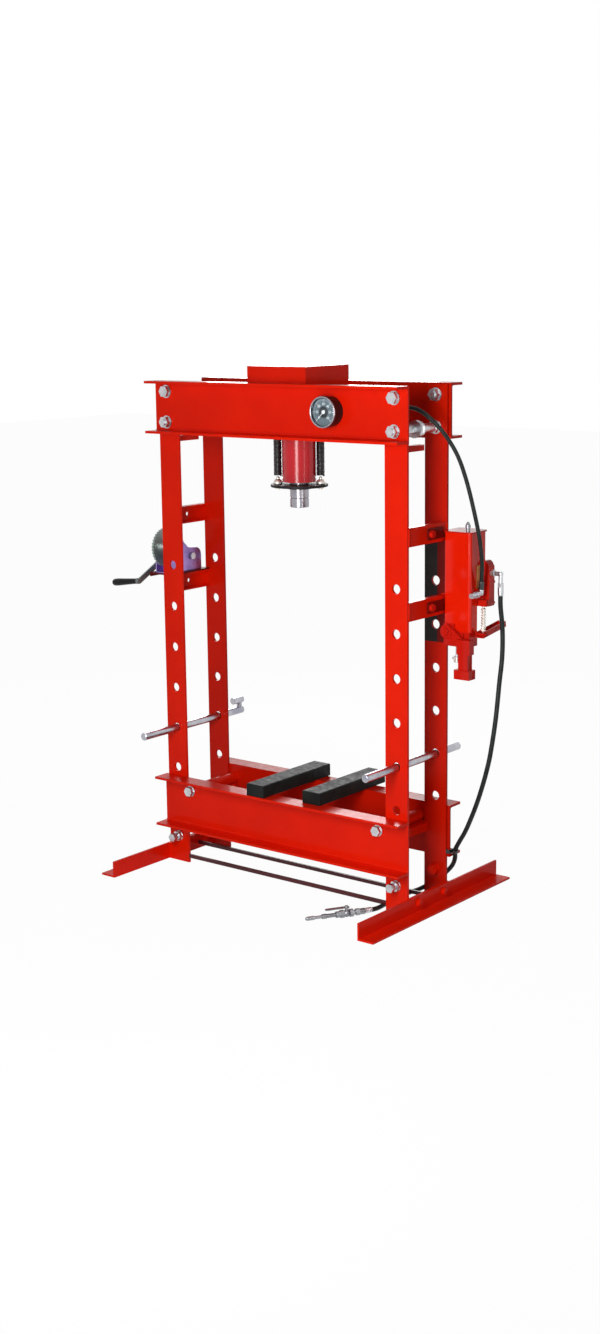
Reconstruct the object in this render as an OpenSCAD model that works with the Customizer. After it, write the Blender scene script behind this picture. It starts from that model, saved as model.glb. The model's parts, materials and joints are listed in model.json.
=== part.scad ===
// Pneumatic (air over hydraulic) H-frame shop press with a winch for its bed.
// Millimetres. Origin on the floor, midway between the posts and the beams.
// X runs along the beams, Y from the front (-) to the back (+), Z up.

/* [Frame] */
// Length of the upper beams and of the bed
beam_length = 1098; // [900:2:1300]
// Height of the top of the upper beams above the floor
beam_top = 1780; // [1620:5:1950]
// Distance between the inner faces of the two beam webs
frame_depth = 242; // [220:2:280]
// Depth of the U section of the beams and the bed
channel_h = 185; // [160:5:200]
// Width of a U flange, web included
channel_w = 68; // [55:1:75]
// Thickness of the U web
web_t = 8; // [6:0.5:10]
// Thickness of the U flanges
flange_t = 9; // [7:0.5:12]
// Corner radius at the root of a U flange
root_r = 6; // [3:0.5:9]
// Width of a post
post_w = 90; // [80:1:100]
// Thickness of a post
post_t = 10; // [8:0.5:14]
// Distance from a beam end to the outer edge of a post
post_inset = 8; // [6:1:20]
// Distance of the post tops below the beam tops
post_drop = 4; // [2:1:15]

/* [Pin holes] */
// Bore for the bed pins
hole_d = 32; // [29:0.5:36]
// Height of the lowest pin hole
hole_first = 362; // [355:1:380]
// Pitch of the pin holes
hole_pitch = 151; // [140:1:160]
// Number of pin holes in a post
hole_count = 6; // [4:1:7]
// Diameter of the bed pins
pin_d = 28; // [24:0.5:28.5]
// Length of a bed pin in front of the front posts
pin_front = 180; // [120:5:200]
// Length of a bed pin behind the back posts
pin_back = 132; // [110:2:160]
// Index of the hole that holds the bed pins, counted up from 0
pin_row = 1; // [1:1:3]
// Chamfer at the ends of a bed pin
pin_chamfer = 3; // [1:0.5:5]
// Diameter of the hooked grip of the left pin
hook_d = 26; // [16:1:27]
// Height of the hooked grip above its pin
hook_rise = 40; // [34:1:46]
// Length of the hooked grip
hook_len = 52; // [36:2:60]

/* [Fasteners] */
// Diameter of the frame bolts
bolt_d = 24; // [20:1:26]
// Width across flats of the bolt heads and nuts
bolt_af = 36; // [32:1:40]
// Height of a bolt head
bolt_head = 15; // [11:1:18]
// Height of a nut
nut_h = 18; // [14:1:20]
// Diameter of the flat washers
washer_d = 46; // [42:1:50]
// Thickness of the flat washers
washer_t = 4; // [2:0.5:5]
// Difference in size between a bolt and its hole
bolt_clear = 1; // [0.6:0.1:2]
// Distance of the frame bolts above and below the middle of the beams
bolt_rise = 54; // [48:1:58]

/* [Side ties] */
// Height of the C section of the side ties
tie_h = 63; // [55:1:70]
// Width of the tie flanges
tie_w = 24; // [18:1:40]
// Wall of the side ties
tie_t = 6; // [4:0.5:8]
// Height of the top of the upper ties
tie_upper_z = 1320; // [1300:5:1360]
// Height of the top of the lower ties
tie_lower_z = 1073; // [1060:1:1090]
// Length of the rope guards below the sheaves
guard_len = 136; // [110:2:150]
// Width of a rope guard
guard_w = 24; // [16:1:34]
// Height of a rope guard
guard_h = 20; // [14:1:26]
// Distance of the rope guards below the beams
guard_drop = 13; // [8:1:30]
// Height of the bolts near the feet of the posts
low_bolt_z = 98; // [92:1:108]
// How far these bolts stand out in front
low_bolt_proud = 44; // [36:1:56]

/* [Feet] */
// Length of a foot
foot_len = 836; // [740:4:900]
// Height of the foot angle
foot_h = 60; // [50:1:70]
// Width of the foot angle
foot_w = 64; // [50:1:75]
// Thickness of the foot angle and its base plate
foot_t = 7; // [5:0.5:9]
// Distance between the foot bolts
foot_bolt_pitch = 152; // [130:2:170]
// Height of the foot bolts
foot_bolt_z = 37; // [34:1:42]
// Diameter of the foot bolts
small_bolt_d = 14; // [10:1:16]
// Width across flats of the foot bolts
small_af = 22; // [18:1:24]
// Height of the flat bars that tie the two sides at the floor
floor_bar = 14; // [10:1:18]
// Height of the floor bars above the floor
floor_bar_z = 18; // [18:1:24]
// Distance of the back floor bar from the middle
floor_bar_y = 30; // [20:1:60]

/* [Head] */
// Length of the head box along the beams
head_len = 254; // [220:2:300]
// Height of the head box above the beams
head_proud = 55; // [40:1:70]
// Wall of the head box
head_t = 10; // [8:1:14]
// Diameter of the cylinder
barrel_d = 118; // [104:1:122]
// Distance of the lower end of the cylinder below the beam tops
barrel_drop = 344; // [320:1:355]
// Width of the ring at the lower end of the cylinder
gland_h = 14; // [8:1:20]
// Thickness of the plate that carries the cylinder
head_plate_t = 25; // [20:1:32]
// Running clearance on the radius of the ram and the shafts
run_clear = 0.08; // [0.03:0.01:0.1]

/* [Ram] */
// Diameter of the ram
ram_d = 66; // [56:1:72]
// Distance of the lower face of the ram below the beam tops
ram_drop = 433; // [420:1:445]
// Height of the push cap at the ram's end
cap_h = 34; // [26:1:40]
// Stroke of the ram
ram_stroke = 150; // [100:5:160]
// Diameter of the round spring plate
plate_d = 200; // [190:1:220]
// Thickness of the spring plate
plate_t = 9; // [6:0.5:12]
// Gap between the cylinder and the spring plate
plate_gap = 8; // [5:1:14]
// Distance of the springs from the ram's axis
spring_r = 75; // [74:0.5:79]
// Turn of the pair of springs from the beams, in degrees
spring_turn = 30; // [24:1:40]
// Outside diameter of a spring
spring_d = 27; // [24:0.5:28]
// Wire of a spring
spring_wire = 4; // [3:0.25:4.5]
// Height of the cylinder's plate above the foot of the beams
plate_rise = 20; // [10:2:60]
// Height of the hook rods above the spring plate
eye_h = 26; // [22:1:32]

/* [Gauge] */
// Diameter of the pressure gauge
gauge_d = 106; // [90:1:114]
// Depth of the gauge from the beam web to its front
gauge_depth = 52; // [32:1:60]
// Distance of the gauge from the middle of the press
gauge_x = 240; // [215:1:270]
// Distance of the gauge's centre below the beam tops
gauge_drop = 89; // [84:1:96]
// Width of the gauge's front ring
bezel_w = 8; // [5:0.5:10]
// Diameter of the gauge's stem
stem_d = 16; // [12:1:18]

/* [Bed] */
// Height of the top of the bed at its lowest place
bed_top = 331; // [326:1:334]
// Side clearance between the bed and a post
bed_clear = 0.6; // [0.4:0.1:1]
// Distance of the bed spacers from the ends of the bed
spacer_inset = 124; // [123:1:149]
// Diameter of the bed spacer tubes
spacer_d = 42; // [36:1:46]
// Distance of the spacers below the top of the bed
spacer_drop = 49; // [46:1:60]
// Width of a press block
block_w = 78; // [70:1:90]
// Height of a press block
block_h = 45; // [38:1:50]
// Length of a press block
block_len = 390; // [380:2:410]
// Place of the left press block along the bed
block_left_x = -70; // [-90:1:-60]
// Place of the right press block along the bed
block_right_x = 150; // [130:1:180]
// Distance of the left press block behind the middle
block_left_y = 8; // [-20:1:20]
// Distance of the right press block behind the middle
block_right_y = 48; // [20:1:60]
// Bevel along the upper edges of a press block
block_bevel = 3; // [1:0.5:5]

/* [Winch] */
// Reach of the winch shelf outside the posts
shelf_w = 84; // [80:1:100]
// Thickness of the winch shelf and of the winch frame's foot
shelf_t = 6; // [4:0.5:8]
// Thickness of the winch side plates
cheek_t = 4; // [3:0.5:5]
// Distance between the winch side plates
cheek_gap = 58; // [56:1:68]
// Pitch radius of the winch gear
gear_r = 70; // [66:1:74]
// Teeth of the winch gear
gear_teeth = 36; // [30:1:40]
// Teeth of the winch pinion
pinion_teeth = 9; // [8:1:12]
// Height of the drum axle above the shelf
axle_h = 91; // [88:1:100]
// Width of the gear and of the pinion
gear_w = 8; // [6:0.5:10]
// Reach of the teeth beyond the pitch circle
tooth_h = 1.4; // [1:0.1:1.8]
// Diameter of the winding drum
drum_d = 56; // [44:1:60]
// Diameter of the crank shaft
crank_shaft_d = 16; // [14:1:18]
// Diameter of the drum axle
axle_d = 16; // [12:1:18]
// Length of the crank arm
crank_len = 183; // [150:1:200]
// Turn of the crank arm from straight down, in degrees
crank_turn = 62.7; // [50:0.1:75]
// Thickness of the crank arm
arm_t = 6; // [4:0.5:8]
// Width of the crank arm
arm_w = 20; // [16:1:24]
// Distance of the crank arm from the outer side plate
arm_out = 46; // [40:1:60]
// Length of the crank grip
grip_len = 122; // [100:2:140]
// Diameter of the crank grip
grip_d = 27; // [22:1:30]
// Diameter of the rod inside the grip
grip_rod_d = 10; // [8:0.5:12]
// Droop of the grip from level, in degrees
grip_droop = 7; // [0:0.5:9]

/* [Pump] */
// Width of the oil reservoir
tank_w = 106; // [96:1:116]
// Depth of the oil reservoir
tank_d = 98; // [90:1:110]
// Height of the oil reservoir
tank_h = 333; // [310:1:350]
// Depth of the reservoir's lower column
column_d = 50; // [46:1:60]
// Height of the lower column
column_h = 107; // [95:1:115]
// Height of the reservoir's floor
tank_z = 955; // [945:1:965]
// Place of the reservoir's front face
tank_y = 84; // [80:1:92]
// Corner radius of the reservoir
tank_r = 10; // [8:0.5:14]
// Wall of the reservoir
tank_t = 3; // [2:0.25:5]
// Thickness of the pump straps
strap_t = 6; // [4:0.5:8]
// Height of the pump straps
strap_h = 38; // [34:1:44]
// Overhang of the reservoir's lid
lid_lip = 5; // [3:0.5:5.5]
// Thickness of the reservoir's lid
lid_t = 5; // [4:0.5:7]
// Width of the air motor
motor_w = 26; // [22:1:32]
// Depth of the air motor
motor_d = 34; // [30:1:40]
// Length of the air motor
motor_h = 154; // [140:2:170]
// Height of the foot of the air motor
motor_z = 1037; // [1030:1:1045]
// Diameter of the chrome plunger
plunger_d = 14; // [11:0.5:16]
// Length of the treadle
treadle_len = 144; // [130:2:160]
// Width of the treadle
treadle_w = 30; // [26:1:34]
// Height of the treadle's sides
treadle_h = 20; // [16:1:22]
// Rise of the treadle, in degrees
treadle_rise = 8; // [6:0.5:10]
// Diameter of the boss on which the handle lever turns
boss_d = 46; // [40:1:48]
// Width of the handle socket
socket_w = 38; // [34:1:42]
// Wall of the handle socket
socket_t = 4; // [3:0.25:5]

/* [Hoses] */
// Outside diameter of the hydraulic hose
oil_hose_d = 14; // [12:0.5:15]
// Outside diameter of the air hose
air_hose_d = 16; // [13:0.5:17]

/* [Hidden] */

$fn = 48;
eps = 0.01;
side_play = 0.3;
half_len = beam_length / 2;
web_y = frame_depth / 2;
post_y = web_y - post_t;
post_out = half_len - post_inset;
post_in = post_out - post_w;
post_x = post_out - post_w / 2;
post_top = beam_top - post_drop;
beam_bottom = beam_top - channel_h;
beam_mid = beam_top - channel_h / 2;
barrel_bottom = beam_top - barrel_drop;
ram_bottom = beam_top - ram_drop;
spacer_x = half_len - spacer_inset;
bolt_low_z = beam_mid - bolt_rise;
bolt_high_z = beam_mid + bolt_rise;
gauge_z = beam_top - gauge_drop;
spring_x = spring_r * cos(spring_turn);
spring_y = spring_r * sin(spring_turn);
plate_top = barrel_bottom - plate_gap;
head_plate_z = beam_bottom + plate_rise;
pin_z = hole_first + pin_row * hole_pitch - (hole_d - pin_d) / 2 + side_play;
spacer_z = bed_top - spacer_drop;
bed_web_y = web_y + bed_clear;

// ---------------------------------------------------------------- shared shapes

// Turns a shape so that its Z axis points along +Y.
module along_y() { rotate([-90, 0, 0]) children(); }

// Turns a shape so that its Z axis points along +X.
module along_x() { rotate([0, 90, 0]) children(); }

module tube(outer, inner, height) {
    difference() {
        cylinder(d = outer, h = height);
        translate([0, 0, -1]) cylinder(d = inner, h = height + 2);
    }
}

// Rounded rectangle centred on the origin.
module round_rect(w, d, r) {
    square([w - 2 * r, d], center = true);
    square([w, d - 2 * r], center = true);
    for (sx = [-1, 1], sy = [-1, 1])
        translate([sx * (w / 2 - r), sy * (d / 2 - r)]) circle(r = r);
}

// Hexagon prism given by its width across flats.
module hexagon(af, height) { cylinder(d = af / cos(30), h = height, $fn = 6); }

// U section along X. The web's back lies on y = 0 and the flanges point to -Y.
module u_section(length) {
    w = channel_w;
    h = channel_h;
    rotate([90, 0, 90])
        translate([0, 0, -length / 2])
            linear_extrude(height = length)
                difference() {
                    translate([-w, 0]) square([w, h]);
                    difference() {
                        translate([-w - 1, flange_t]) square([w + 1 - web_t, h - 2 * flange_t]);
                        for (side = [0, 1])
                            translate([-web_t, side * h])
                                mirror([0, side])
                                    translate([0, flange_t])
                                        difference() {
                                            translate([-root_r, 0]) square([root_r + 1, root_r]);
                                            translate([-root_r, root_r]) circle(r = root_r);
                                        }
                    }
                }
}

// Bolt head with its washer, standing on z = 0 and pointing up, shank down.
module bolt(d, af, head, wash_d, wash_t, grip, nut) {
    cylinder(d = wash_d, h = wash_t);
    translate([0, 0, wash_t - eps]) hexagon(af, head + eps);
    translate([0, 0, -grip]) cylinder(d = d, h = grip + eps);
    translate([0, 0, -grip - wash_t]) cylinder(d = wash_d, h = wash_t);
    translate([0, 0, -grip - wash_t - nut]) hexagon(af, nut + eps);
    translate([0, 0, -grip - wash_t - nut - 6]) cylinder(d = d, h = nut + 6);
}

// ---------------------------------------------------------------- beams and posts

// side is -1 for the front and +1 for the back.
module upper_beam(side) {
    difference() {
        translate([0, side * web_y, beam_bottom])
            rotate([0, 0, side > 0 ? 180 : 0]) u_section(beam_length);
        for (sx = [-1, 1], z = [bolt_low_z, bolt_high_z])
            translate([sx * post_x, side * web_y - 20, z])
                along_y() cylinder(d = bolt_d + bolt_clear, h = 40);
        if (side < 0)
            translate([gauge_x, -web_y - 20, gauge_z])
                along_y() cylinder(d = stem_d + 2, h = 40);
    }
}

module upper_beam_front() { color("red") upper_beam(-1); }

module upper_beam_back() { color("red") upper_beam(1); }

// sx is -1 for the left, sy is -1 for the front.
module post(sx, sy) {
    difference() {
        translate([sx > 0 ? post_in : -post_out, sy > 0 ? post_y : -web_y, 0])
            cube([post_w, post_t, post_top]);
        for (i = [0 : hole_count - 1])
            translate([sx * post_x, sy * web_y - 20, hole_first + i * hole_pitch])
                along_y() cylinder(d = hole_d, h = 40);
        for (z = [bolt_low_z, bolt_high_z])
            translate([sx * post_x, sy * web_y - 20, z])
                along_y() cylinder(d = bolt_d + bolt_clear, h = 40);
        translate([sx * post_x, sy * web_y - 20, low_bolt_z])
            along_y() cylinder(d = bolt_d + bolt_clear, h = 40);
    }
}

module post_front_left() { color("red") post(-1, -1); }

module post_back_left() { color("red") post(-1, 1); }

module post_front_right() { color("red") post(1, -1); }

module post_back_right() { color("red") post(1, 1); }

// ---------------------------------------------------------------- side ties

// C section between a front and a back post, open to the middle of the press.
module side_tie(top_z, bolt_y) {
    difference() {
        translate([post_out - tie_w, -post_y, top_z - tie_h]) cube([tie_w, 2 * post_y, tie_h]);
        translate([post_out - tie_w - 1, -post_y - 1, top_z - tie_h + tie_t])
            cube([tie_w + 1 - tie_t, 2 * post_y + 2, tie_h - 2 * tie_t]);
        translate([post_out - tie_t - 5, bolt_y, top_z - tie_h / 2])
            along_x() cylinder(d = small_bolt_d + bolt_clear, h = tie_t + 10);
    }
}

strap_bolt_y = 10;
stop_reach = 14;
stop_lap = 14;
stop_h = 30;
base_plate_h = foot_h;

module side_ties() {
    side_tie(tie_upper_z, strap_bolt_y);
    side_tie(tie_lower_z, strap_bolt_y);
    // rope guard below the sheave
    translate([post_x - guard_w / 2, -post_y, beam_bottom - guard_drop - guard_h])
        cube([guard_w, guard_len, guard_h]);
    // bar on which the bed's spacer comes to rest
    translate([spacer_x - stop_reach, -post_y, spacer_z - spacer_d / 2 - stop_h - side_play])
        cube([post_in + stop_lap - spacer_x + stop_reach, 2 * post_y, stop_h]);
    // plate between the posts' outer edges and the foot
    difference() {
        translate([post_out, -web_y, 0]) cube([post_inset, 2 * web_y, base_plate_h]);
        for (sy = [-1, 1])
            translate([post_out - 5, sy * foot_bolt_pitch / 2, foot_bolt_z])
                along_x() cylinder(d = small_bolt_d + bolt_clear, h = post_inset + 10);
    }
}

module side_ties_left() { color("red") mirror([1, 0, 0]) side_ties(); }

module side_ties_right() { color("red") side_ties(); }

// ---------------------------------------------------------------- feet

module foot() {
    difference() {
        union() {
            translate([half_len, -foot_len / 2, 0]) cube([foot_t, foot_len, foot_h]);
            translate([half_len, -foot_len / 2, 0]) cube([foot_w, foot_len, foot_t]);
        }
        for (sy = [-1, 1])
            translate([half_len - 5, sy * foot_bolt_pitch / 2, foot_bolt_z])
                along_x() cylinder(d = small_bolt_d + bolt_clear, h = foot_t + 10);
    }
}

module foot_left() { color("red") mirror([1, 0, 0]) foot(); }

module foot_right() { color("red") foot(); }

module floor_bars() {
    color("darkred") {
        translate([-post_in, -web_y, floor_bar_z]) cube([2 * post_in, post_t, floor_bar]);
        translate([-post_out, floor_bar_y, floor_bar_z]) cube([2 * post_out, post_t, floor_bar]);
    }
}

// ---------------------------------------------------------------- fasteners

sheave_d = 58;
sheave_w = 26;
sheave_y = -6;
sleeve_d = 32;

// Stud through both posts with a nut outside and inside each post.
module through_stud(sx) {
    reach = web_y + web_t;
    translate([sx * post_x, 0, bolt_low_z]) {
        translate([0, -reach - washer_t - nut_h - 5, 0])
            along_y() cylinder(d = bolt_d, h = 2 * (reach + washer_t + nut_h + 5));
        for (s = [-1, 1]) {
            rotate([s * 90, 0, 0]) {
                translate([0, 0, reach]) cylinder(d = washer_d, h = washer_t);
                translate([0, 0, reach + washer_t]) hexagon(bolt_af, nut_h);
                translate([0, 0, post_y - washer_t]) cylinder(d = washer_d, h = washer_t);
                translate([0, 0, post_y - washer_t - nut_h]) hexagon(bolt_af, nut_h + eps);
            }
        }
        // sleeves that keep the sheave in place
        inner = post_y - washer_t - nut_h;
        translate([0, -inner, 0])
            along_y() cylinder(d = sleeve_d, h = inner + sheave_y - sheave_w / 2 - side_play);
        translate([0, sheave_y + sheave_w / 2 + side_play, 0])
            along_y() cylinder(d = sleeve_d, h = inner - sheave_y - sheave_w / 2 - side_play);
    }
}

module beam_bolts() {
    color("gainsboro") {
        for (sx = [-1, 1], sy = [-1, 1])
            translate([sx * post_x, sy * (web_y + web_t), bolt_high_z])
                rotate([sy < 0 ? 90 : -90, 0, 0])
                    bolt(bolt_d, bolt_af, bolt_head, washer_d, washer_t, web_t + post_t, nut_h);
        for (sx = [-1, 1]) through_stud(sx);
    }
}

low_head_af = 28;
low_head = 16;
low_nut = 16;

// Stud with a washer and a nut on each face of a post; its head stands proud on +Z.
module low_bolt(proud) {
    translate([0, 0, -post_t - washer_t - low_nut - 4]) cylinder(d = bolt_d, h = post_t + proud + low_nut + 8);
    translate([0, 0, proud - low_head]) hexagon(low_head_af, low_head);
    for (z = [0, -post_t - washer_t]) translate([0, 0, z]) cylinder(d = washer_d - 8, h = washer_t);
    translate([0, 0, washer_t - eps]) hexagon(bolt_af - 2, 12);
    translate([0, 0, -post_t - washer_t - low_nut]) hexagon(bolt_af - 2, low_nut + eps);
}

module base_bolts() {
    color("gainsboro") {
        // studs near the feet of the posts
        for (sx = [-1, 1]) {
            translate([sx * post_x, -web_y, low_bolt_z]) rotate([90, 0, 0]) low_bolt(low_bolt_proud);
            translate([sx * post_x, web_y, low_bolt_z]) along_y() low_bolt(low_nut + washer_t + 6);
        }
        // foot bolts
        for (sx = [-1, 1], sy = [-1, 1])
            translate([sx * (half_len + foot_t), sy * foot_bolt_pitch / 2, foot_bolt_z])
                rotate([0, sx * 90, 0])
                    bolt(small_bolt_d, small_af, 9, small_af + 6, 2, foot_t + post_inset, 11);
        // strap bolts
        for (z = [tie_upper_z - tie_h / 2, tie_lower_z - tie_h / 2])
            translate([post_out + strap_t, strap_bolt_y, z])
                rotate([0, 90, 0])
                    bolt(small_bolt_d, small_af, 9, small_af + 6, 2, strap_t + tie_t, 11);
    }
}

// Grooved wheel that guides the lifting rope of the bed.
module sheave(sx) {
    translate([sx * post_x, sheave_y - sheave_w / 2, bolt_low_z])
        along_y()
            difference() {
                rotate_extrude()
                    difference() {
                        translate([bolt_d / 2 + run_clear, 0])
                            square([sheave_d / 2 - bolt_d / 2 - run_clear, sheave_w]);
                        translate([sheave_d / 2 + 2, sheave_w / 2]) circle(r = 8);
                    }
            }
}

module sheave_left() { color("silver") sheave(-1); }

module sheave_right() { color("silver") sheave(1); }

// ---------------------------------------------------------------- head and cylinder

port_z = gauge_z;
port_y = -30;
pipe_d = 14;

module head_box() {
    color("red") {
        difference() {
            translate([-head_len / 2, -web_y, head_plate_z])
                cube([head_len, 2 * web_y, beam_top + head_proud - head_plate_z]);
            translate([-head_len / 2 + head_t, -web_y + head_t, head_plate_z + head_plate_t])
                cube([head_len - 2 * head_t, 2 * web_y - 2 * head_t,
                    beam_top + head_proud - head_t - head_plate_z - head_plate_t]);
            translate([0, 0, head_plate_z - 1]) cylinder(d = barrel_d + 0.1, h = head_plate_t + 2);
            translate([head_len / 2 - head_t - 5, port_y, port_z])
                along_x() cylinder(d = pipe_d + 2, h = head_t + 10);
        }
        // hooks for the springs
        for (s = [-1, 1])
            translate([s * spring_x, s * spring_y, 0]) {
                translate([0, 0, hook_z]) sphere(d = 13);
                translate([0, 0, hook_z]) cylinder(d = 10, h = head_plate_z - hook_z + eps);
            }
    }
}

barrel_top = beam_top - 45;

module cylinder_barrel() {
    color("crimson")
        difference() {
            union() {
                translate([0, 0, barrel_bottom]) cylinder(d = barrel_d, h = barrel_top - barrel_bottom);
                translate([0, 0, head_plate_z + head_plate_t])
                    cylinder(d = barrel_d + 24, h = 14);
            }
            translate([0, 0, barrel_bottom - 1])
                cylinder(d = ram_d + 2 * run_clear, h = barrel_top - barrel_bottom - 25);
            // seal groove around the foot of the barrel
            translate([0, 0, barrel_bottom + gland_h]) tube(barrel_d + 4, barrel_d - 3, 2);
            // oil port above the ram
            translate([0, port_y, port_z]) along_x() cylinder(d = pipe_d + 0.2, h = barrel_d);
        }
}

// ---------------------------------------------------------------- ram

ram_guide = 89;
ram_top = barrel_bottom + ram_guide + ram_stroke;
cap_gap = 1.5;

module ram_rod() {
    color("silver")
        translate([0, 0, ram_bottom + cap_h])
            cylinder(d = ram_d, h = ram_top - ram_bottom - cap_h);
}

module ram_cap() {
    color("silver") {
        translate([0, 0, ram_bottom]) cylinder(d1 = ram_d - 3, d2 = ram_d, h = 1.5);
        translate([0, 0, ram_bottom + 1.5 - eps]) cylinder(d = ram_d, h = cap_h - 1.5 - cap_gap + eps);
        translate([0, 0, ram_bottom + cap_h - cap_gap - eps]) cylinder(d = ram_d - 4, h = cap_gap + eps);
    }
}

module spring_plate() {
    color("#2a2024")
        difference() {
            union() {
                translate([0, 0, plate_top - plate_t]) cylinder(d = plate_d, h = plate_t);
                translate([0, 0, plate_top - plate_t - 8]) cylinder(d = ram_d + 22, h = 8 + eps);
            }
            translate([0, 0, plate_top - plate_t - 9]) cylinder(d = ram_d, h = plate_t + 12);
            for (s = [-1, 1])
                translate([s * spring_x, s * spring_y, plate_top - plate_t - 1])
                    cylinder(d = 10.5, h = plate_t + 2);
        }
}

// Threaded hook rods with a nut above and below the plate.
module spring_eyes() {
    color("gainsboro")
        for (s = [-1, 1])
            translate([s * spring_x, s * spring_y, plate_top]) {
                translate([0, 0, -plate_t - 12]) cylinder(d = 10, h = plate_t + 12 + eye_h - 6);
                hexagon(19, 9);
                translate([0, 0, -plate_t - 8]) hexagon(19, 8);
                translate([0, 0, 9 - eps]) cylinder(d = 16, h = 3);
                translate([0, 0, eye_h - 7]) sphere(d = 13);
            }
}

spring_foot = plate_top + eye_h;
hook_z = beam_bottom + 3;

// A closely wound tension spring: a wall with a thread of rings outside.
module tension_spring(s) {
    top = hook_z - 7;
    turns = floor((top - spring_foot) / (spring_wire * 2));
    pitch = (top - spring_foot) / turns;
    translate([s * spring_x, s * spring_y, spring_foot])
        rotate_extrude()
            difference() {
                translate([spring_d / 2 - spring_wire, 0]) square([spring_wire, top - spring_foot]);
                for (i = [0 : turns])
                    translate([spring_d / 2 + spring_wire * 0.2, i * pitch]) circle(d = spring_wire, $fn = 4);
            }
    // hooked ends
    for (z = [spring_foot, top - 3])
        translate([s * spring_x, s * spring_y, z]) cylinder(d = spring_d - spring_wire, h = 3);
}

module spring_left() { color("#151515") tension_spring(-1); }

module spring_right() { color("#151515") tension_spring(1); }

// ---------------------------------------------------------------- pressure gauge

gauge_back_y = -web_y - web_t;
dial_t = 1.5;
dial_back = 7;
tee_gap = 12;

module gauge_case() {
    color("#101010")
        translate([gauge_x, gauge_back_y, gauge_z])
            rotate([90, 0, 0])
                difference() {
                    union() {
                        cylinder(d = gauge_d - 6, h = gauge_depth - bezel_w);
                        translate([0, 0, gauge_depth - bezel_w - 10]) cylinder(d = gauge_d, h = 10);
                        // stem through the beam's web
                        translate([0, 0, -web_t - tee_gap]) cylinder(d = stem_d, h = web_t + tee_gap + 1);
                    }
                    translate([0, 0, gauge_depth - bezel_w - dial_back]) cylinder(d = gauge_d - 10, h = 30);
                    translate([0, 0, -web_t - tee_gap - 1]) cylinder(d = 6, h = web_t + 20);
                }
}

module gauge_bezel() {
    color("silver")
        translate([gauge_x, gauge_back_y, gauge_z])
            rotate([90, 0, 0])
                translate([0, 0, gauge_depth - bezel_w]) tube(gauge_d, gauge_d - 2 * bezel_w, bezel_w);
}

module gauge_dial() {
    color("#c9d4d8")
        translate([gauge_x, gauge_back_y, gauge_z])
            rotate([90, 0, 0])
                translate([0, 0, gauge_depth - bezel_w - dial_back]) {
                    cylinder(d = gauge_d - 11, h = dial_t);
                    cylinder(d = 4, h = dial_t + 3);
                }
}

needle_w = 3.5;

module gauge_needle() {
    color("black")
        translate([gauge_x, gauge_back_y, gauge_z])
            rotate([90, 0, 0])
                translate([0, 0, gauge_depth - bezel_w - dial_back + dial_t + 1.2])
                    difference() {
                        union() {
                            cylinder(d = 12, h = 1.6);
                            rotate([0, 0, 225]) translate([-10, -needle_w / 2, 0])
                                cube([gauge_d * 0.36 + 10, needle_w, 1.2]);
                        }
                        translate([0, 0, -1]) cylinder(d = 4 + 2 * run_clear, h = 4);
                    }
}

tee_w = 34;
tee_y = -web_y + tee_gap;
oil_start_y = tee_y + tee_w / 2;
oil_start_x = gauge_x + tee_w / 2 + 30;

// Tee behind the gauge, pipe to the cylinder, and the elbow at the pump.
module oil_fittings() {
    color("silver") {
        translate([gauge_x - tee_w / 2, tee_y, gauge_z - tee_w / 2]) cube([tee_w, tee_w, tee_w]);
        // pipe to the barrel
        translate([gauge_x, tee_y + tee_w - eps, gauge_z]) along_y() hexagon(22, 12);
        translate([gauge_x, tee_y + tee_w, gauge_z]) along_y() cylinder(d = pipe_d, h = port_y - tee_y - tee_w);
        translate([barrel_d / 2 - 14, port_y, port_z])
            along_x() cylinder(d = pipe_d, h = gauge_x - barrel_d / 2 + 14);
        translate([gauge_x, port_y, gauge_z]) sphere(d = pipe_d);
        // hose nut
        translate([gauge_x + tee_w / 2 - eps, oil_start_y, gauge_z]) along_x() hexagon(24, 16);
        translate([gauge_x + tee_w / 2 + 16 - eps, oil_start_y, gauge_z])
            along_x() cylinder(d = oil_hose_d + 6, h = 14 + eps);
    }
}

// ---------------------------------------------------------------- bed

module bed_channel(side) {
    difference() {
        translate([0, side * bed_web_y, bed_top - channel_h])
            rotate([0, 0, side > 0 ? 180 : 0]) u_section(beam_length);
        for (sx = [-1, 1])
            translate([sx * spacer_x, side * bed_web_y - 20, spacer_z])
                along_y() cylinder(d = bolt_d + bolt_clear, h = 40);
    }
}

module bed_channel_front() { color("red") bed_channel(-1); }

module bed_channel_back() { color("red") bed_channel(1); }

module bed_spacers() {
    color("gainsboro")
        for (sx = [-1, 1])
            translate([sx * spacer_x, 0, spacer_z]) {
                translate([0, -bed_web_y, 0]) along_y() cylinder(d = spacer_d, h = 2 * bed_web_y);
                translate([0, -bed_web_y - web_t - washer_t - bolt_head, 0])
                    along_y() cylinder(d = bolt_d, h = 2 * (bed_web_y + web_t + washer_t + bolt_head));
                for (s = [-1, 1])
                    rotate([s * 90, 0, 0])
                        translate([0, 0, bed_web_y + web_t]) {
                            cylinder(d = washer_d - 6, h = washer_t);
                            translate([0, 0, washer_t]) hexagon(bolt_af - 4, bolt_head);
                        }
            }
}

module press_block(x, y) {
    translate([x, y - block_len / 2, bed_top])
        rotate([-90, 0, 0])
            linear_extrude(height = block_len)
                polygon([[-block_w / 2, 0], [block_w / 2, 0], [block_w / 2, block_bevel - block_h],
                    [block_w / 2 - block_bevel, -block_h], [block_bevel - block_w / 2, -block_h],
                    [-block_w / 2, block_bevel - block_h]]);
}

module press_block_left() { color("#181818") press_block(block_left_x, block_left_y); }

module press_block_right() { color("#181818") press_block(block_right_x, block_right_y); }

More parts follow.
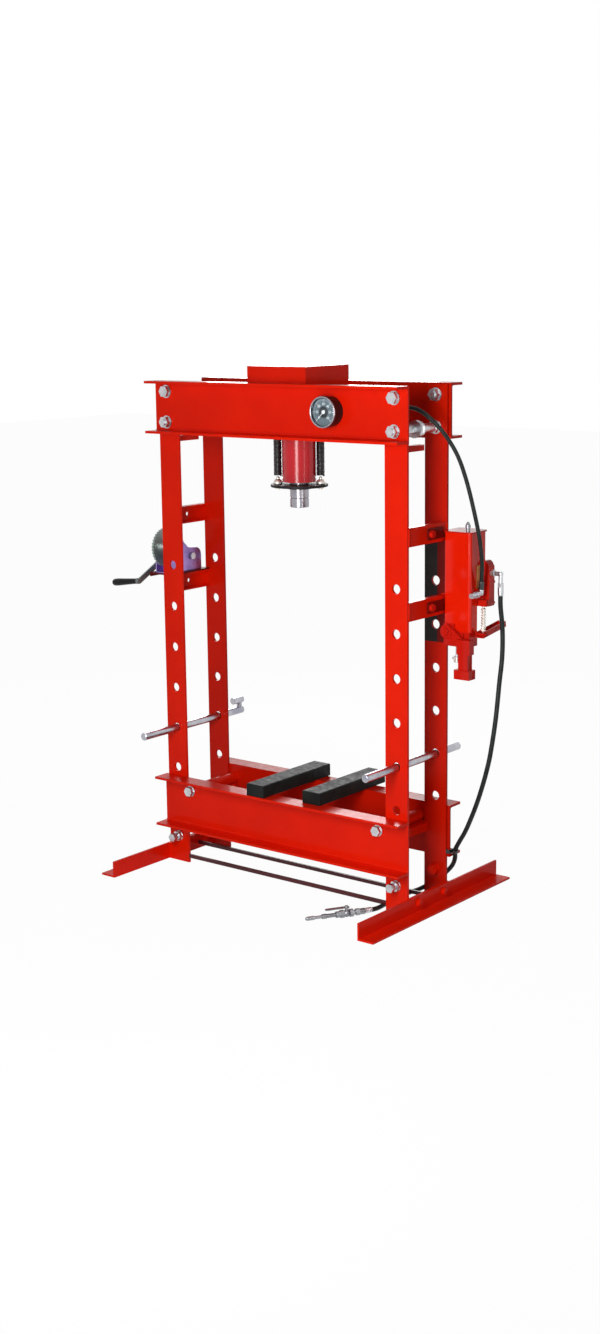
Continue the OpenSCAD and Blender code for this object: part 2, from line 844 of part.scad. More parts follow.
module pin_bar(length) {
    cylinder(d1 = pin_d - 2 * pin_chamfer, d2 = pin_d, h = pin_chamfer);
    translate([0, 0, pin_chamfer - eps]) cylinder(d = pin_d, h = length - 2 * pin_chamfer + 2 * eps);
    translate([0, 0, length - pin_chamfer]) cylinder(d1 = pin_d, d2 = pin_d - 2 * pin_chamfer, h = pin_chamfer);
}

pin_len = pin_front + 2 * web_y + pin_back;

module bed_pin(sx) {
    translate([sx * post_x, -web_y - pin_front, pin_z]) along_y() pin_bar(pin_len);
}

module bed_pin_left() {
    color("silver") {
        bed_pin(-1);
        // hooked grip at the back end
        translate([-post_x, web_y + pin_back - hook_d / 2 - 3, pin_z]) {
            cylinder(d = hook_d - 6, h = hook_rise);
            translate([0, hook_d / 2 + 1, hook_rise]) rotate([90, 0, 0]) cylinder(d = hook_d, h = hook_len);
        }
    }
}

module bed_pin_right() { color("silver") bed_pin(1); }

// ---------------------------------------------------------------- winch

shelf_y = 106;
winch_z = tie_lower_z + shelf_t;
gear_module = 2 * gear_r / gear_teeth;
pinion_r = pinion_teeth * gear_module / 2;
axle_y = -58;
axle_z = winch_z + axle_h;
shaft_drop = 38;
shaft_dy = sqrt(pow(gear_r + pinion_r, 2) - pow(shaft_drop, 2));
shaft_y = axle_y + shaft_dy;
shaft_z = axle_z - shaft_drop;
cheek_in = post_out - 12;
cheek_out = cheek_in + cheek_t + cheek_gap;
gear_x = cheek_out - side_play - gear_w;
arm_x = cheek_out + cheek_t + arm_out;

module winch_shelf() {
    color("darkred")
        mirror([1, 0, 0]) {
            translate([post_out - tie_w, -shelf_y, tie_lower_z])
                cube([shelf_w + tie_w, 2 * shelf_y, shelf_t]);
            // down-turned outer edge
            translate([post_out + shelf_w - shelf_t, -shelf_y, tie_lower_z - 10])
                cube([shelf_t, 2 * shelf_y, 10 + eps]);
        }
}

cheek_front = 104;
cheek_back = 74;
cheek_h = 120;

// Outline of a winch side plate, drawn in Y and Z above the shelf.
module cheek_outline() {
    polygon([[cheek_back, 0], [cheek_back, 52], [cheek_back - 3, 66], [cheek_back - 10, 76],
        [cheek_back - 22, 82], [4, 86], [-24, cheek_h - 8], [-44, cheek_h],
        [14 - cheek_front, cheek_h], [-cheek_front, cheek_h - 12], [-cheek_front, 0]]);
}

module cheek(x, bore_axle) {
    translate([x, 0, winch_z])
        rotate([90, 0, 90])
            linear_extrude(height = cheek_t)
                difference() {
                    cheek_outline();
                    translate([axle_y, axle_h]) circle(d = bore_axle);
                    translate([shaft_y, axle_h - shaft_drop]) circle(d = crank_shaft_d + 2 * run_clear);
                }
}

module winch_frame() {
    color("#7a6c9c")
        mirror([1, 0, 0]) {
            cheek(cheek_in, axle_d + 2 * run_clear);
            cheek(cheek_out, axle_d + 2 * run_clear);
            translate([cheek_in, -cheek_front, winch_z])
                cube([cheek_out + cheek_t - cheek_in, cheek_front + cheek_back, cheek_t]);
        }
}

module winch_drum() {
    color("#8d7fae")
        mirror([1, 0, 0])
            translate([0, axle_y, axle_z])
                along_x() {
                    translate([0, 0, cheek_in - 8])
                        cylinder(d = axle_d, h = cheek_out - cheek_in + cheek_t + 16);
                    translate([0, 0, cheek_in + cheek_t + side_play])
                        cylinder(d = drum_d, h = gear_x - cheek_in - cheek_t - side_play);
                    translate([0, 0, cheek_in + cheek_t + side_play]) cylinder(d = drum_d + 36, h = 3);
                    translate([0, 0, cheek_in - 8]) cylinder(d = axle_d + 8, h = 8 - side_play);
                    translate([0, 0, cheek_out + cheek_t + side_play])
                        cylinder(d = axle_d + 8, h = 8 - side_play);
                }
}

// Toothed wheel of pitch radius r, with short teeth and wide gaps; turn is in steps of a tooth.
module toothed(r, teeth, turn) {
    step = 360 / teeth;
    root = r - tooth_h - 0.6;
    width = 2 * PI * r / teeth;
    circle(r = root, $fn = 90);
    for (i = [0 : teeth - 1])
        rotate([0, 0, (i + turn) * step])
            polygon([[root - 1, -width * 0.26], [r, -width * 0.2], [r + tooth_h, -width * 0.11],
                [r + tooth_h, width * 0.11], [r, width * 0.2], [root - 1, width * 0.26]]);
}

// Direction from the drum axle to the crank shaft, in the gear's own plane.
mesh_angle = atan2(-shaft_drop, shaft_dy);

module winch_gear() {
    color("#6f8581")
        mirror([1, 0, 0])
            translate([gear_x, axle_y, axle_z])
                rotate([90, 0, 90])
                    linear_extrude(height = gear_w)
                        difference() {
                            rotate([0, 0, mesh_angle]) toothed(gear_r, gear_teeth, 0);
                            circle(d = axle_d);
                        }
}

module crank_shaft() {
    color("silver")
        mirror([1, 0, 0])
            translate([0, shaft_y, shaft_z])
                rotate([90, 0, 90]) {
                    translate([0, 0, cheek_in - 9])
                        cylinder(d = crank_shaft_d, h = arm_x + arm_t + 8 - cheek_in + 9);
                    translate([0, 0, cheek_in - 9]) hexagon(24, 8);
                    translate([0, 0, arm_x + arm_t]) hexagon(24, 8);
                    translate([0, 0, gear_x])
                        linear_extrude(height = gear_w)
                            rotate([0, 0, mesh_angle + 180]) toothed(pinion_r, pinion_teeth, 0.5);
                    translate([0, 0, cheek_in + cheek_t + side_play])
                        cylinder(d = crank_shaft_d + 10, h = gear_x - cheek_in - cheek_t - side_play);
                    translate([0, 0, cheek_out + cheek_t + side_play])
                        cylinder(d = crank_shaft_d + 10, h = arm_out - side_play);
                }
}

arm_end_y = shaft_y - crank_len * sin(crank_turn);
arm_end_z = shaft_z - crank_len * cos(crank_turn);

grip_ring = 6;

// Places a shape with its Z axis along the grip, from the end of the crank arm.
module on_grip_rod() {
    mirror([1, 0, 0])
        translate([arm_x + arm_t, arm_end_y, arm_end_z])
            rotate([0, 90 + grip_droop, 0]) children();
}

module crank_arm() {
    color("gray") {
        mirror([1, 0, 0])
            translate([arm_x, shaft_y, shaft_z])
                rotate([90, 0, 90]) {
                    linear_extrude(height = arm_t)
                        difference() {
                            union() {
                                circle(d = arm_w + 8);
                                rotate([0, 0, -90 - crank_turn])
                                    translate([0, -arm_w / 2]) square([crank_len, arm_w]);
                                rotate([0, 0, -90 - crank_turn])
                                    translate([crank_len, 0]) circle(d = arm_w);
                            }
                            circle(d = crank_shaft_d);
                        }
                }
        // rod on which the grip turns
        on_grip_rod() {
            translate([0, 0, -arm_t / 2]) cylinder(d = grip_rod_d, h = arm_t / 2 + grip_ring + grip_len - 6);
            translate([0, 0, 0]) cylinder(d = 22, h = grip_ring);
        }
    }
}

module crank_grip() {
    color("#101010")
        on_grip_rod()
            translate([0, 0, grip_ring + side_play])
                    difference() {
                        rotate_extrude()
                            polygon([[0, 0], [grip_d * 0.36, 0], [grip_d * 0.40, 6], [grip_d * 0.42, grip_len * 0.45],
                                [grip_d * 0.5, grip_len * 0.8], [grip_d * 0.49, grip_len - 8],
                                [grip_d * 0.40, grip_len - 1], [grip_d * 0.3, grip_len], [0, grip_len]]);
                        translate([0, 0, -1]) cylinder(d = grip_rod_d + 2 * run_clear, h = grip_len - 4);
                    }
}

// ---------------------------------------------------------------- air over hydraulic pump

tank_x = post_out + strap_t;
tank_cx = tank_x + tank_w / 2;
tank_cy = tank_y + tank_d / 2;
tank_out = tank_x + tank_w;
tank_top = tank_z + tank_h;
tank_step = tank_z + column_h;
column_back = tank_y + column_d;

strap_end = 18;
strap_lap = 32;

module pump_straps() {
    color("firebrick")
        for (z = [tie_upper_z - tie_h / 2, tie_lower_z - tie_h / 2])
            difference() {
                union() {
                    translate([post_out, strap_bolt_y - strap_end, z - strap_h / 2])
                        cube([strap_t, tank_y - lid_lip - 1 - strap_bolt_y + strap_end, strap_h]);
                    // the rear end stays below the lid
                    translate([post_out, tank_y - lid_lip - 2, z - strap_h / 2])
                        cube([strap_t, lid_lip + 2 + strap_lap,
                            min(strap_h, tank_top - side_play - z + strap_h / 2)]);
                }
                translate([post_out - 5, strap_bolt_y, z])
                    along_x() cylinder(d = small_bolt_d + bolt_clear, h = strap_t + 10);
            }
}

// Body of the reservoir, made smaller all round by inset.
module tank_body(inset) {
    translate([tank_cx, tank_cy, tank_step + inset])
        linear_extrude(height = tank_top - tank_step)
            round_rect(tank_w - 2 * inset, tank_d - 2 * inset, tank_r - inset);
    translate([tank_cx, tank_y + column_d / 2, tank_z + inset])
        linear_extrude(height = column_h + eps)
            round_rect(tank_w - 2 * inset, column_d - 2 * inset, tank_r - inset);
}

module pump_reservoir() {
    color("red")
        difference() {
            tank_body(0);
            tank_body(tank_t);
        }
}

module reservoir_lid() {
    color("firebrick") {
        translate([tank_cx, tank_cy, tank_top])
            linear_extrude(height = lid_t)
                round_rect(tank_w + 2 * lid_lip, tank_d + 2 * lid_lip, tank_r + lid_lip);
        // breather plug
        translate([tank_out - 18, tank_y + 12, tank_top + lid_t - eps]) {
            cylinder(d = 14, h = 14);
            translate([0, 0, 14 - eps]) cylinder(d = 18, h = 8);
            translate([0, 0, 22 - eps]) cylinder(d1 = 18, d2 = 6, h = 12);
        }
    }
}

sight_w = 20;
sight_h = 78;
sight_y = tank_y + 46;
sight_z = tank_z + 185;

module sight_gauge() {
    color("peru") {
        translate([tank_out, sight_y - sight_w / 2, sight_z - sight_h / 2]) cube([4, sight_w, sight_h]);
        for (s = [-1, 1])
            translate([tank_out + 4 - eps, sight_y, sight_z + s * (sight_h / 2 - 7)])
                along_x() cylinder(d = 8, h = 2);
    }
}

base_x = tank_x + 28;
base_w = tank_w - 31;
base_h = 50;
base_z = tank_z - base_h;
boss_x = tank_x + 26;
boss_z = tank_z + 1;
lug_t = 8;
lug_y = tank_y - lug_t;
boss_pin_d = 16;
boss_w = 17;
boss_y = lug_y - side_play - boss_w;
treadle_x = tank_out + 2;
treadle_pin_d = 8;
treadle_pin_y = column_back - 8;
treadle_pin_z = tank_z - 9;
plunger_x = tank_out + 14;
plunger_y = column_back + 10;
head_x = tank_out - 27;
head_w = 58;
head_d = 22;
head_h = 22;

// Pump casting: block under the reservoir, lever pivots and plunger guide.
module pump_base() {
    color("firebrick")
        difference() {
            union() {
                translate([base_x, tank_y, base_z]) cube([base_w, column_d, base_h]);
                // plate and pin that carry the handle lever
                translate([boss_x - 20, lug_y, base_z]) cube([40, lug_t, base_h + 26]);
                translate([base_x, lug_y, base_z]) cube([base_w - 20, lug_t + eps, base_h - 4]);
                translate([boss_x, lug_y - boss_w - 6, boss_z])
                    along_y() cylinder(d = boss_pin_d, h = boss_w + 6 + eps);
                translate([boss_x, lug_y - boss_w - 8, boss_z]) along_y() cylinder(d = boss_pin_d + 8, h = 7);
                // pin on which the treadle turns
                translate([base_x + base_w - eps, treadle_pin_y, treadle_pin_z])
                    along_x() cylinder(d = treadle_pin_d, h = treadle_x + treadle_w + 4 - base_x - base_w);
            }
            translate([release_x, release_y, base_z - 1]) cylinder(d = release_d, h = release_deep + 1);
        }
    // guide of the plunger, under the reservoir's step
    color("firebrick")
        difference() {
            translate([head_x, column_back, tank_step - head_h]) cube([head_w, head_d, head_h]);
            translate([plunger_x, plunger_y, tank_step - head_h - 1])
                cylinder(d = plunger_d + 2 * run_clear, h = head_h - 3);
        }
}

motor_x = tank_out;
motor_y = column_back + head_d + 3;

module air_motor() {
    color("firebrick")
        translate([motor_x, motor_y + motor_d, motor_z])
            rotate([90, 0, 0]) {
                linear_extrude(height = motor_d)
                    polygon([[0, 0], [motor_w, 0], [motor_w, motor_h - 20], [motor_w - 8, motor_h - 6],
                        [motor_w - 16, motor_h], [0, motor_h]]);
                // flange rings of the cylinder
                for (z = [6, motor_h * 0.5])
                    translate([0, z, -2]) cube([motor_w + 2, 8, motor_d + 4]);
            }
}

elbow_z = motor_z + motor_h - 42;
elbow_y = motor_y + motor_d / 2;
elbow_x = motor_x + motor_w + 35;
elbow_drop = 65;
elbow_end_z = elbow_z - elbow_drop;

// Swivel elbow between the air motor and the air hose.
module air_elbow() {
    color("silver")
        translate([0, elbow_y, elbow_z]) {
            translate([motor_x + motor_w, 0, 0]) along_x() cylinder(d = 16, h = elbow_x - motor_x - motor_w);
            translate([motor_x + motor_w, 0, 0]) along_x() hexagon(22, 12);
            translate([elbow_x, 0, 0]) {
                sphere(d = 18);
                translate([0, 0, -elbow_drop + 20]) cylinder(d = 15, h = elbow_drop - 20);
                translate([0, 0, -elbow_drop + 20]) hexagon(20, 14);
                translate([0, 0, -elbow_drop]) cylinder(d = air_hose_d + 4, h = 20 + eps);
            }
        }
}

oil_port_z = tank_z + 129;
oil_port_y = tank_y + 16;
oil_end_x = tank_out + 15;
oil_end_y = tank_y + 44;
oil_end_z = oil_port_z + 14;

// Fitting on the side of the pump that takes the foot of the oil hose.
module pump_elbow() {
    color("silver")
        translate([oil_end_x, oil_end_y, oil_port_z]) {
            sphere(d = 15);
            cylinder(d = 13, h = 6);
            translate([0, 0, 4]) cylinder(d = oil_hose_d + 3, h = oil_end_z - oil_port_z - 4);
            translate([0, oil_port_y - oil_end_y - 30, 0])
                along_y() cylinder(d = 13, h = oil_end_y - oil_port_y + 30);
            translate([0, oil_port_y - oil_end_y - 34, 0]) along_y() hexagon(17, 14);
            translate([0, oil_port_y - oil_end_y - 9, 0]) along_y() hexagon(20, 18);
            translate([tank_out - oil_end_x, oil_port_y - oil_end_y, 0])
                along_x() cylinder(d = 12, h = oil_end_x - tank_out);
        }
}

plunger_foot = treadle_pin_z - 2;

// Chrome plunger that the treadle pushes up.
module pump_plunger() {
    color("silver")
        translate([plunger_x, plunger_y, 0]) {
            translate([0, 0, plunger_foot]) cylinder(d = plunger_d, h = tank_step - 20 - plunger_foot);
            translate([0, 0, plunger_foot + 34]) cylinder(d = plunger_d + 4, h = 6);
        }
}

// Channel with upright sides, open at the top.
module treadle() {
    color("crimson")
        translate([treadle_x, treadle_pin_y, treadle_pin_z])
            rotate([treadle_rise, 0, 0])
                difference() {
                    translate([0, -10, -treadle_h / 2]) cube([treadle_w, treadle_len, treadle_h]);
                    translate([3, -11, -treadle_h / 2 + 4]) cube([treadle_w - 6, treadle_len - 8, treadle_h]);
                    translate([-1, 0, 0])
                        along_x() cylinder(d = treadle_pin_d + 2 * run_clear, h = treadle_w + 2);
                }
}

release_x = base_x + 16;
release_y = tank_y + 18;
release_d = 12;
release_deep = 20;

module release_knob() {
    color("gainsboro")
        translate([release_x, release_y, base_z]) {
            translate([0, 0, -34]) cylinder(d = release_d - 2 * run_clear, h = 34 + release_deep - side_play);
            translate([0, 0, -58]) cylinder(d = 24, h = 24);
            translate([-20, 0, -46]) along_x() cylinder(d = 6, h = 40);
        }
}

socket_reach = 57;
socket_drop = 70;
socket_x = boss_x + socket_reach;
socket_z = boss_z - socket_drop;
socket_y = boss_y - 12;
socket_len = 52;
foot_len_z = 44;

// Lever with a square socket for the pump handle, hung on the pivot pin.
module handle_socket() {
    color("red") {
        difference() {
            union() {
                translate([boss_x, boss_y, boss_z]) along_y() cylinder(d = boss_d, h = boss_w);
                // web from the boss to the socket
                translate([boss_x, boss_y + 13, boss_z])
                    rotate([90, 0, 0])
                        linear_extrude(height = 9)
                            polygon([[-6, -22], [10, 20], [socket_reach + 10, -24], [socket_reach + 10, -60]]);
            }
            translate([boss_x, boss_y - 1, boss_z])
                along_y() cylinder(d = boss_pin_d + 2 * run_clear, h = boss_w + 2);
        }
        // head, neck and flared foot of the socket
        difference() {
            union() {
                translate([socket_x - 7, socket_y, socket_z]) cube([socket_w + 14, socket_w - 10, 50]);
                translate([socket_x, socket_y, socket_z - socket_len])
                    cube([socket_w, socket_w - 10, socket_len + eps]);
                translate([socket_x - 13, socket_y - 6, socket_z - socket_len - foot_len_z + 12])
                    cube([socket_w + 22, socket_w + 2, foot_len_z - 12 + eps]);
            }
            translate([socket_x + socket_t, socket_y + socket_t, socket_z - socket_len - foot_len_z])
                cube([socket_w - 2 * socket_t, socket_w - 10 - 2 * socket_t, socket_len + foot_len_z + 30]);
        }
    }
}

// ---------------------------------------------------------------- hoses

// Route of the oil hose, from the tee behind the gauge down to the pump.
oil_points = [
    [oil_start_x, oil_start_y, gauge_z], [330, -91, 1693], [375, -74, 1698], [415, -44, 1703], [455, -13, 1705],
    [500, 3, 1696], [548, 14, 1662], [588, 34, 1611], [620, 56, 1545], [645, 71, 1462],
    [667, 84, 1360], [680, 97, 1270], [679, 114, 1190], [672, 124, 1138], [oil_end_x, oil_end_y, oil_end_z]];

valve_start = [417, -198, 13];
valve_turn = 31;

// Route of the air hose, from the air motor down over the right foot to its valve.
air_points = [
    [elbow_x, elbow_y, elbow_end_z], [elbow_x, elbow_y, 1040], [720, 180, 960], [726, 170, 870],
    [727, 152, 780], [730, 126, 660], [722, 108, 545], [710, 102, 480], [690, 106, 420],
    [667, 112, 362], [641, 118, 305], [613, 124, 250], [584, 130, 205], [565, 135, 172],
    [558, 144, 140], [540, 156, 108], [513, 163, 78], [484, 158, 50], [455, 139, 26], [433, 103, 11],
    [421, 30, 9.5], [425, -70, 9], [430, -145, 9.5], valve_start];

sides = 10;

// Point a share t of the way from point i to the next on a smooth curve.
function curve_point(p, i, t) =
    let (
        a = p[max(i - 1, 0)],
        b = p[i],
        c = p[i + 1],
        d = p[min(i + 2, len(p) - 1)]
    )
    0.5 * (2 * b + (c - a) * t + (2 * a - 5 * b + 4 * c - d) * t * t + (3 * b - a - 3 * c + d) * t * t * t);

// Points of the curve, with the given number of steps between two route points.
function curve(p, steps) = concat(
    [for (i = [0 : len(p) - 2], k = [0 : steps - 1]) curve_point(p, i, k / steps)],
    [p[len(p) - 1]]);

function unit(v) = v / norm(v);

// Direction of the path at its point i.
function heading(path, i) = unit(path[min(i + 1, len(path) - 1)] - path[max(i - 1, 0)]);

// The part of v that is square to the direction t.
function square_to(v, t) = unit(v - (v * t) * t);

// Sideways directions, carried along the path without twist.
function sideways(path) = [
    for (i = 0, n = square_to([0.3, 1, 0.2], heading(path, 0));
        i < len(path);
        i = i + 1, n = i < len(path) ? square_to(n, heading(path, i)) : n) n];

// Closed tube of the given diameter along a path.
module swept_tube(path, d) {
    side = sideways(path);
    last = len(path) - 1;
    points = [for (i = [0 : last], k = [0 : sides - 1])
        let (t = heading(path, i), a = 360 * k / sides)
        path[i] + d / 2 * (cos(a) * side[i] + sin(a) * cross(t, side[i]))];
    walls = [for (i = [0 : last - 1], k = [0 : sides - 1])
        let (n = (k + 1) % sides)
        [i * sides + k, (i + 1) * sides + k, (i + 1) * sides + n, i * sides + n]];
    first_cap = [for (k = [0 : sides - 1]) k];
    last_cap = [for (k = [sides - 1 : -1 : 0]) last * sides + k];
    polyhedron(points = points, faces = concat([first_cap], walls, [last_cap]), convexity = 6);
}

module oil_hose() { color("#181818") swept_tube(curve(oil_points, 2), oil_hose_d); }

module air_hose() { color("#181818") swept_tube(curve(air_points, 2), air_hose_d); }

clip_z = 168;
clip_y = 135;
clip_w = 14;
clip_lean = 22;
clip_tilt = 12;
clip_t = 2;
clip_gap = 4.5;
clip_ring = air_hose_d + 5;
clip_arm_x = half_len + clip_gap;
clip_x = clip_arm_x + (clip_t + clip_ring) / 2;

// Bracket and ring that hold the air hose beside the right post.
module hose_clip() {
    color("dimgray")
        translate([0, 0, clip_z]) {
            translate([post_out, post_y, -clip_w / 2]) cube([clip_t, post_t, clip_w]);
            translate([post_out, post_y, -clip_w / 2]) cube([clip_arm_x + clip_t - post_out, clip_t, clip_w]);
            translate([clip_arm_x, post_y, -clip_w / 2]) cube([clip_t, clip_y - post_y, clip_w]);
            translate([clip_x, clip_y, 0])
                rotate([clip_tilt, clip_lean, 0])
                    translate([0, 0, -clip_w / 2]) tube(clip_ring, air_hose_d + 0.8, clip_w);
        }
}

// Places a shape with its Z axis along the valve, away from the hose.
module along_valve(reach) {
    translate(valve_start)
        rotate([0, 0, -valve_turn])
            translate([0, -reach, 0])
                rotate([90, 0, 0]) children();
}

stem_reach = 66;

// Hose nut, ball valve and quick plug at the free end of the air hose.
module air_inlet() {
    color("silver") {
        along_valve(0) {
            cylinder(d = air_hose_d + 5, h = 22);
            translate([0, 0, 20]) hexagon(21, 14);
            translate([0, 0, 33]) cylinder(d = 15, h = 10);
            translate([0, 0, 42]) hexagon(24, 14);
            translate([0, 0, stem_reach]) sphere(d = 26);
            translate([0, 0, stem_reach + 10]) hexagon(24, 14);
        }
        along_valve(stem_reach) rotate([-90, 0, 0]) cylinder(d = 12, h = 20);
    }
}

module quick_plug() {
    color("silver")
        along_valve(stem_reach + 24)
            difference() {
                union() {
                    hexagon(19, 16);
                    translate([0, 0, 16 - eps]) cylinder(d = 14, h = 34);
                    translate([0, 0, 50 - 2 * eps]) cylinder(d = 17, h = 16);
                    translate([0, 0, 66 - 3 * eps]) cylinder(d = 11, h = 28);
                    translate([0, 0, 94 - 4 * eps]) cylinder(d = 14, h = 24);
                    translate([0, 0, 118 - 5 * eps]) cylinder(d1 = 14, d2 = 10, h = 6);
                }
                translate([0, 0, 60]) cylinder(d = 6, h = 80);
            }
}

lever_len = 70;

module valve_lever() {
    color("silver")
        translate(valve_start)
            rotate([0, 0, -valve_turn])
                translate([0, -stem_reach, 20 + side_play]) {
                    cylinder(d = 20, h = 3);
                    translate([-8, -lever_len, 0]) cube([16, lever_len, 3]);
                    translate([0, -lever_len, 0]) cylinder(d = 16, h = 3);
                    hexagon(10, 7);
                }
}

upper_beam_front();
upper_beam_back();
post_front_left();
post_back_left();
post_front_right();
post_back_right();
side_ties_left();
side_ties_right();
foot_left();
foot_right();
floor_bars();
beam_bolts();
base_bolts();
sheave_left();
sheave_right();
head_box();
cylinder_barrel();
ram_rod();
ram_cap();
spring_plate();
spring_eyes();
spring_left();
spring_right();
gauge_case();
gauge_bezel();
gauge_dial();
gauge_needle();
oil_fittings();
bed_channel_front();
bed_channel_back();
bed_spacers();
press_block_left();
press_block_right();
bed_pin_left();
bed_pin_right();
winch_shelf();
winch_frame();
winch_drum();
winch_gear();
crank_shaft();
crank_arm();
crank_grip();
pump_straps();
pump_reservoir();
reservoir_lid();
sight_gauge();
pump_base();
air_motor();
air_elbow();
pump_elbow();
pump_plunger();
treadle();
handle_socket();
release_knob();
oil_hose();
air_hose();
hose_clip();
air_inlet();
quick_plug();
valve_lever();
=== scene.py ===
"""Dresses the pneumatic shop press: camera, hoses, detailed pieces, finishes, floor and light."""
import json
import logging
import math
from collections.abc import Callable, Iterator, Sequence
from contextlib import contextmanager
from dataclasses import dataclass, field
from enum import Enum

import bmesh
import bpy
from mathutils import Matrix, Vector

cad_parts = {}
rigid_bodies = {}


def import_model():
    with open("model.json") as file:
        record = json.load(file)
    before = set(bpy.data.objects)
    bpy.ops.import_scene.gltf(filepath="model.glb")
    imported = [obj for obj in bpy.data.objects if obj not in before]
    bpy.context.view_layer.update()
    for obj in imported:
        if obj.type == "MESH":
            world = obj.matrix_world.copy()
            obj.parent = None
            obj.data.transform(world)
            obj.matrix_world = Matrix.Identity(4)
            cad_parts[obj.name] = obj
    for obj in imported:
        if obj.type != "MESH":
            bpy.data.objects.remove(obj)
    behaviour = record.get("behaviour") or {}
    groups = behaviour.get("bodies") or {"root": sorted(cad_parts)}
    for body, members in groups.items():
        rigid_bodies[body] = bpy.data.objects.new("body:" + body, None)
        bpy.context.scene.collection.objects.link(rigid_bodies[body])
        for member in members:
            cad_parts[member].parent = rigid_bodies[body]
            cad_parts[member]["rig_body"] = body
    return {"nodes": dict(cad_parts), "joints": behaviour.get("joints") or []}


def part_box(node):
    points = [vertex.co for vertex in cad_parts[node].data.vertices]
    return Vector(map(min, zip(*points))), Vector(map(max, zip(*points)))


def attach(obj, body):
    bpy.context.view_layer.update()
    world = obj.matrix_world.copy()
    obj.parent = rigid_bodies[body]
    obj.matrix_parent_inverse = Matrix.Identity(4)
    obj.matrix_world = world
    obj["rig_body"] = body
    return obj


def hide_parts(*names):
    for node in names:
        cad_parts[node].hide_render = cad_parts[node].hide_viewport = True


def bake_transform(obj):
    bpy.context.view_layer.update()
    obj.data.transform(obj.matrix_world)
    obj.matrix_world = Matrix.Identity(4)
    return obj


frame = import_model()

logging.basicConfig(level=logging.INFO, format="%(message)s")
log = logging.getLogger("shop_press")

Point = tuple[float, float, float]
Colour = tuple[float, float, float]
Piece = bpy.types.Object


class Axis(Enum):
    """Directions in which turned pieces point."""

    FRONT = (0.0, -1.0, 0.0)
    UP = (0.0, 0.0, 1.0)


# ------------------------------------------------------------------ finishes


class Nodes:
    """Small helper that adds and joins shader nodes of one material."""

    def __init__(self, name: str) -> None:
        """Start an empty node tree with an output and a principled shader.

        Args:
            name: Name of the material.
        """
        self.material = bpy.data.materials.new(name)
        self.material.use_nodes = True
        self.tree = self.material.node_tree
        self.tree.nodes.clear()
        self.output = self.tree.nodes.new("ShaderNodeOutputMaterial")
        self.shader = self.tree.nodes.new("ShaderNodeBsdfPrincipled")
        self.tree.links.new(self.shader.outputs[0], self.output.inputs["Surface"])
        self.place = self.tree.nodes.new("ShaderNodeTexCoord")

    def join(self, source: bpy.types.NodeSocket, target: bpy.types.NodeSocket) -> None:
        """Link one socket to another."""
        self.tree.links.new(source, target)

    def mapping(self, scale: Point) -> bpy.types.NodeSocket:
        """Stretch object coordinates.

        Args:
            scale: Factors along X, Y and Z.

        Returns:
            The stretched coordinates.
        """
        node = self.tree.nodes.new("ShaderNodeMapping")
        node.inputs["Scale"].default_value = scale
        self.join(self.place.outputs["Object"], node.inputs["Vector"])
        return node.outputs["Vector"]

    def noise(self, scale: float, detail: float, stretch: Point = (1.0, 1.0, 1.0),
              rough: float = 0.5) -> bpy.types.NodeSocket:
        """Make a noise pattern on object coordinates.

        Args:
            scale: Cells in a metre.
            detail: Octaves.
            stretch: Factors along X, Y and Z.
            rough: Share that each finer octave keeps.

        Returns:
            The value of the noise.
        """
        node = self.tree.nodes.new("ShaderNodeTexNoise")
        node.inputs["Scale"].default_value = scale
        node.inputs["Detail"].default_value = detail
        node.inputs["Roughness"].default_value = rough
        self.join(self.mapping(stretch), node.inputs["Vector"])
        return node.outputs["Fac"]

    def bump(self, value: bpy.types.NodeSocket, depth: float, strength: float,
             below: bpy.types.NodeSocket | None = None) -> bpy.types.NodeSocket:
        """Raise the surface by a pattern.

        Args:
            value: Height from 0 to 1.
            depth: Height in metres.
            strength: Share of the effect.
            below: Normal of another bump beneath it.

        Returns:
            The changed normal.
        """
        node = self.tree.nodes.new("ShaderNodeBump")
        node.inputs["Strength"].default_value = strength
        node.inputs["Distance"].default_value = depth
        self.join(value, node.inputs["Height"])
        if below is not None:
            self.join(below, node.inputs["Normal"])
        return node.outputs["Normal"]

    def tint(self, value: bpy.types.NodeSocket, first: tuple[float, Colour],
             second: tuple[float, Colour]) -> None:
        """Blend the base colour between two tones.

        Args:
            value: Pattern from 0 to 1.
            first: Place and colour of the lower tone.
            second: Place and colour of the higher tone.
        """
        node = self.tree.nodes.new("ShaderNodeValToRGB")
        for element, (place, colour) in zip(node.color_ramp.elements, (first, second)):
            element.position = place
            element.color = (*colour, 1.0)
        self.join(value, node.inputs["Fac"])
        self.join(node.outputs["Color"], self.shader.inputs["Base Color"])

    def gloss(self, value: bpy.types.NodeSocket, low: float, high: float) -> None:
        """Let the roughness wander between two values.

        Args:
            value: Pattern, mostly from 0.3 to 0.7.
            low: Roughness at the low end.
            high: Roughness at the high end.
        """
        node = self.tree.nodes.new("ShaderNodeMapRange")
        for key, number in (("From Min", 0.3), ("From Max", 0.7), ("To Min", low), ("To Max", high)):
            node.inputs[key].default_value = number
        self.join(value, node.inputs["Value"])
        self.join(node.outputs["Result"], self.shader.inputs["Roughness"])

    def relief(self, value: bpy.types.NodeSocket, depth: float, strength: float) -> None:
        """Raise the surface by a pattern alone."""
        self.join(self.bump(value, depth, strength), self.shader.inputs["Normal"])

    def set(self, **values: float | Sequence[float]) -> None:
        """Set sockets of the shader, with underscores for spaces in their names."""
        for key, value in values.items():
            self.shader.inputs[key.replace("_", " ")].default_value = value


@dataclass(frozen=True)
class Surface:
    """Look of a surface; each kind paints its own pattern."""

    name: str

    def build(self) -> bpy.types.Material:
        """Build the material.

        Returns:
            The material.
        """
        nodes = Nodes(self.name)
        self.paint(nodes)
        return nodes.material

    def paint(self, nodes: Nodes) -> None:
        """Set up the nodes of the material."""
        raise NotImplementedError


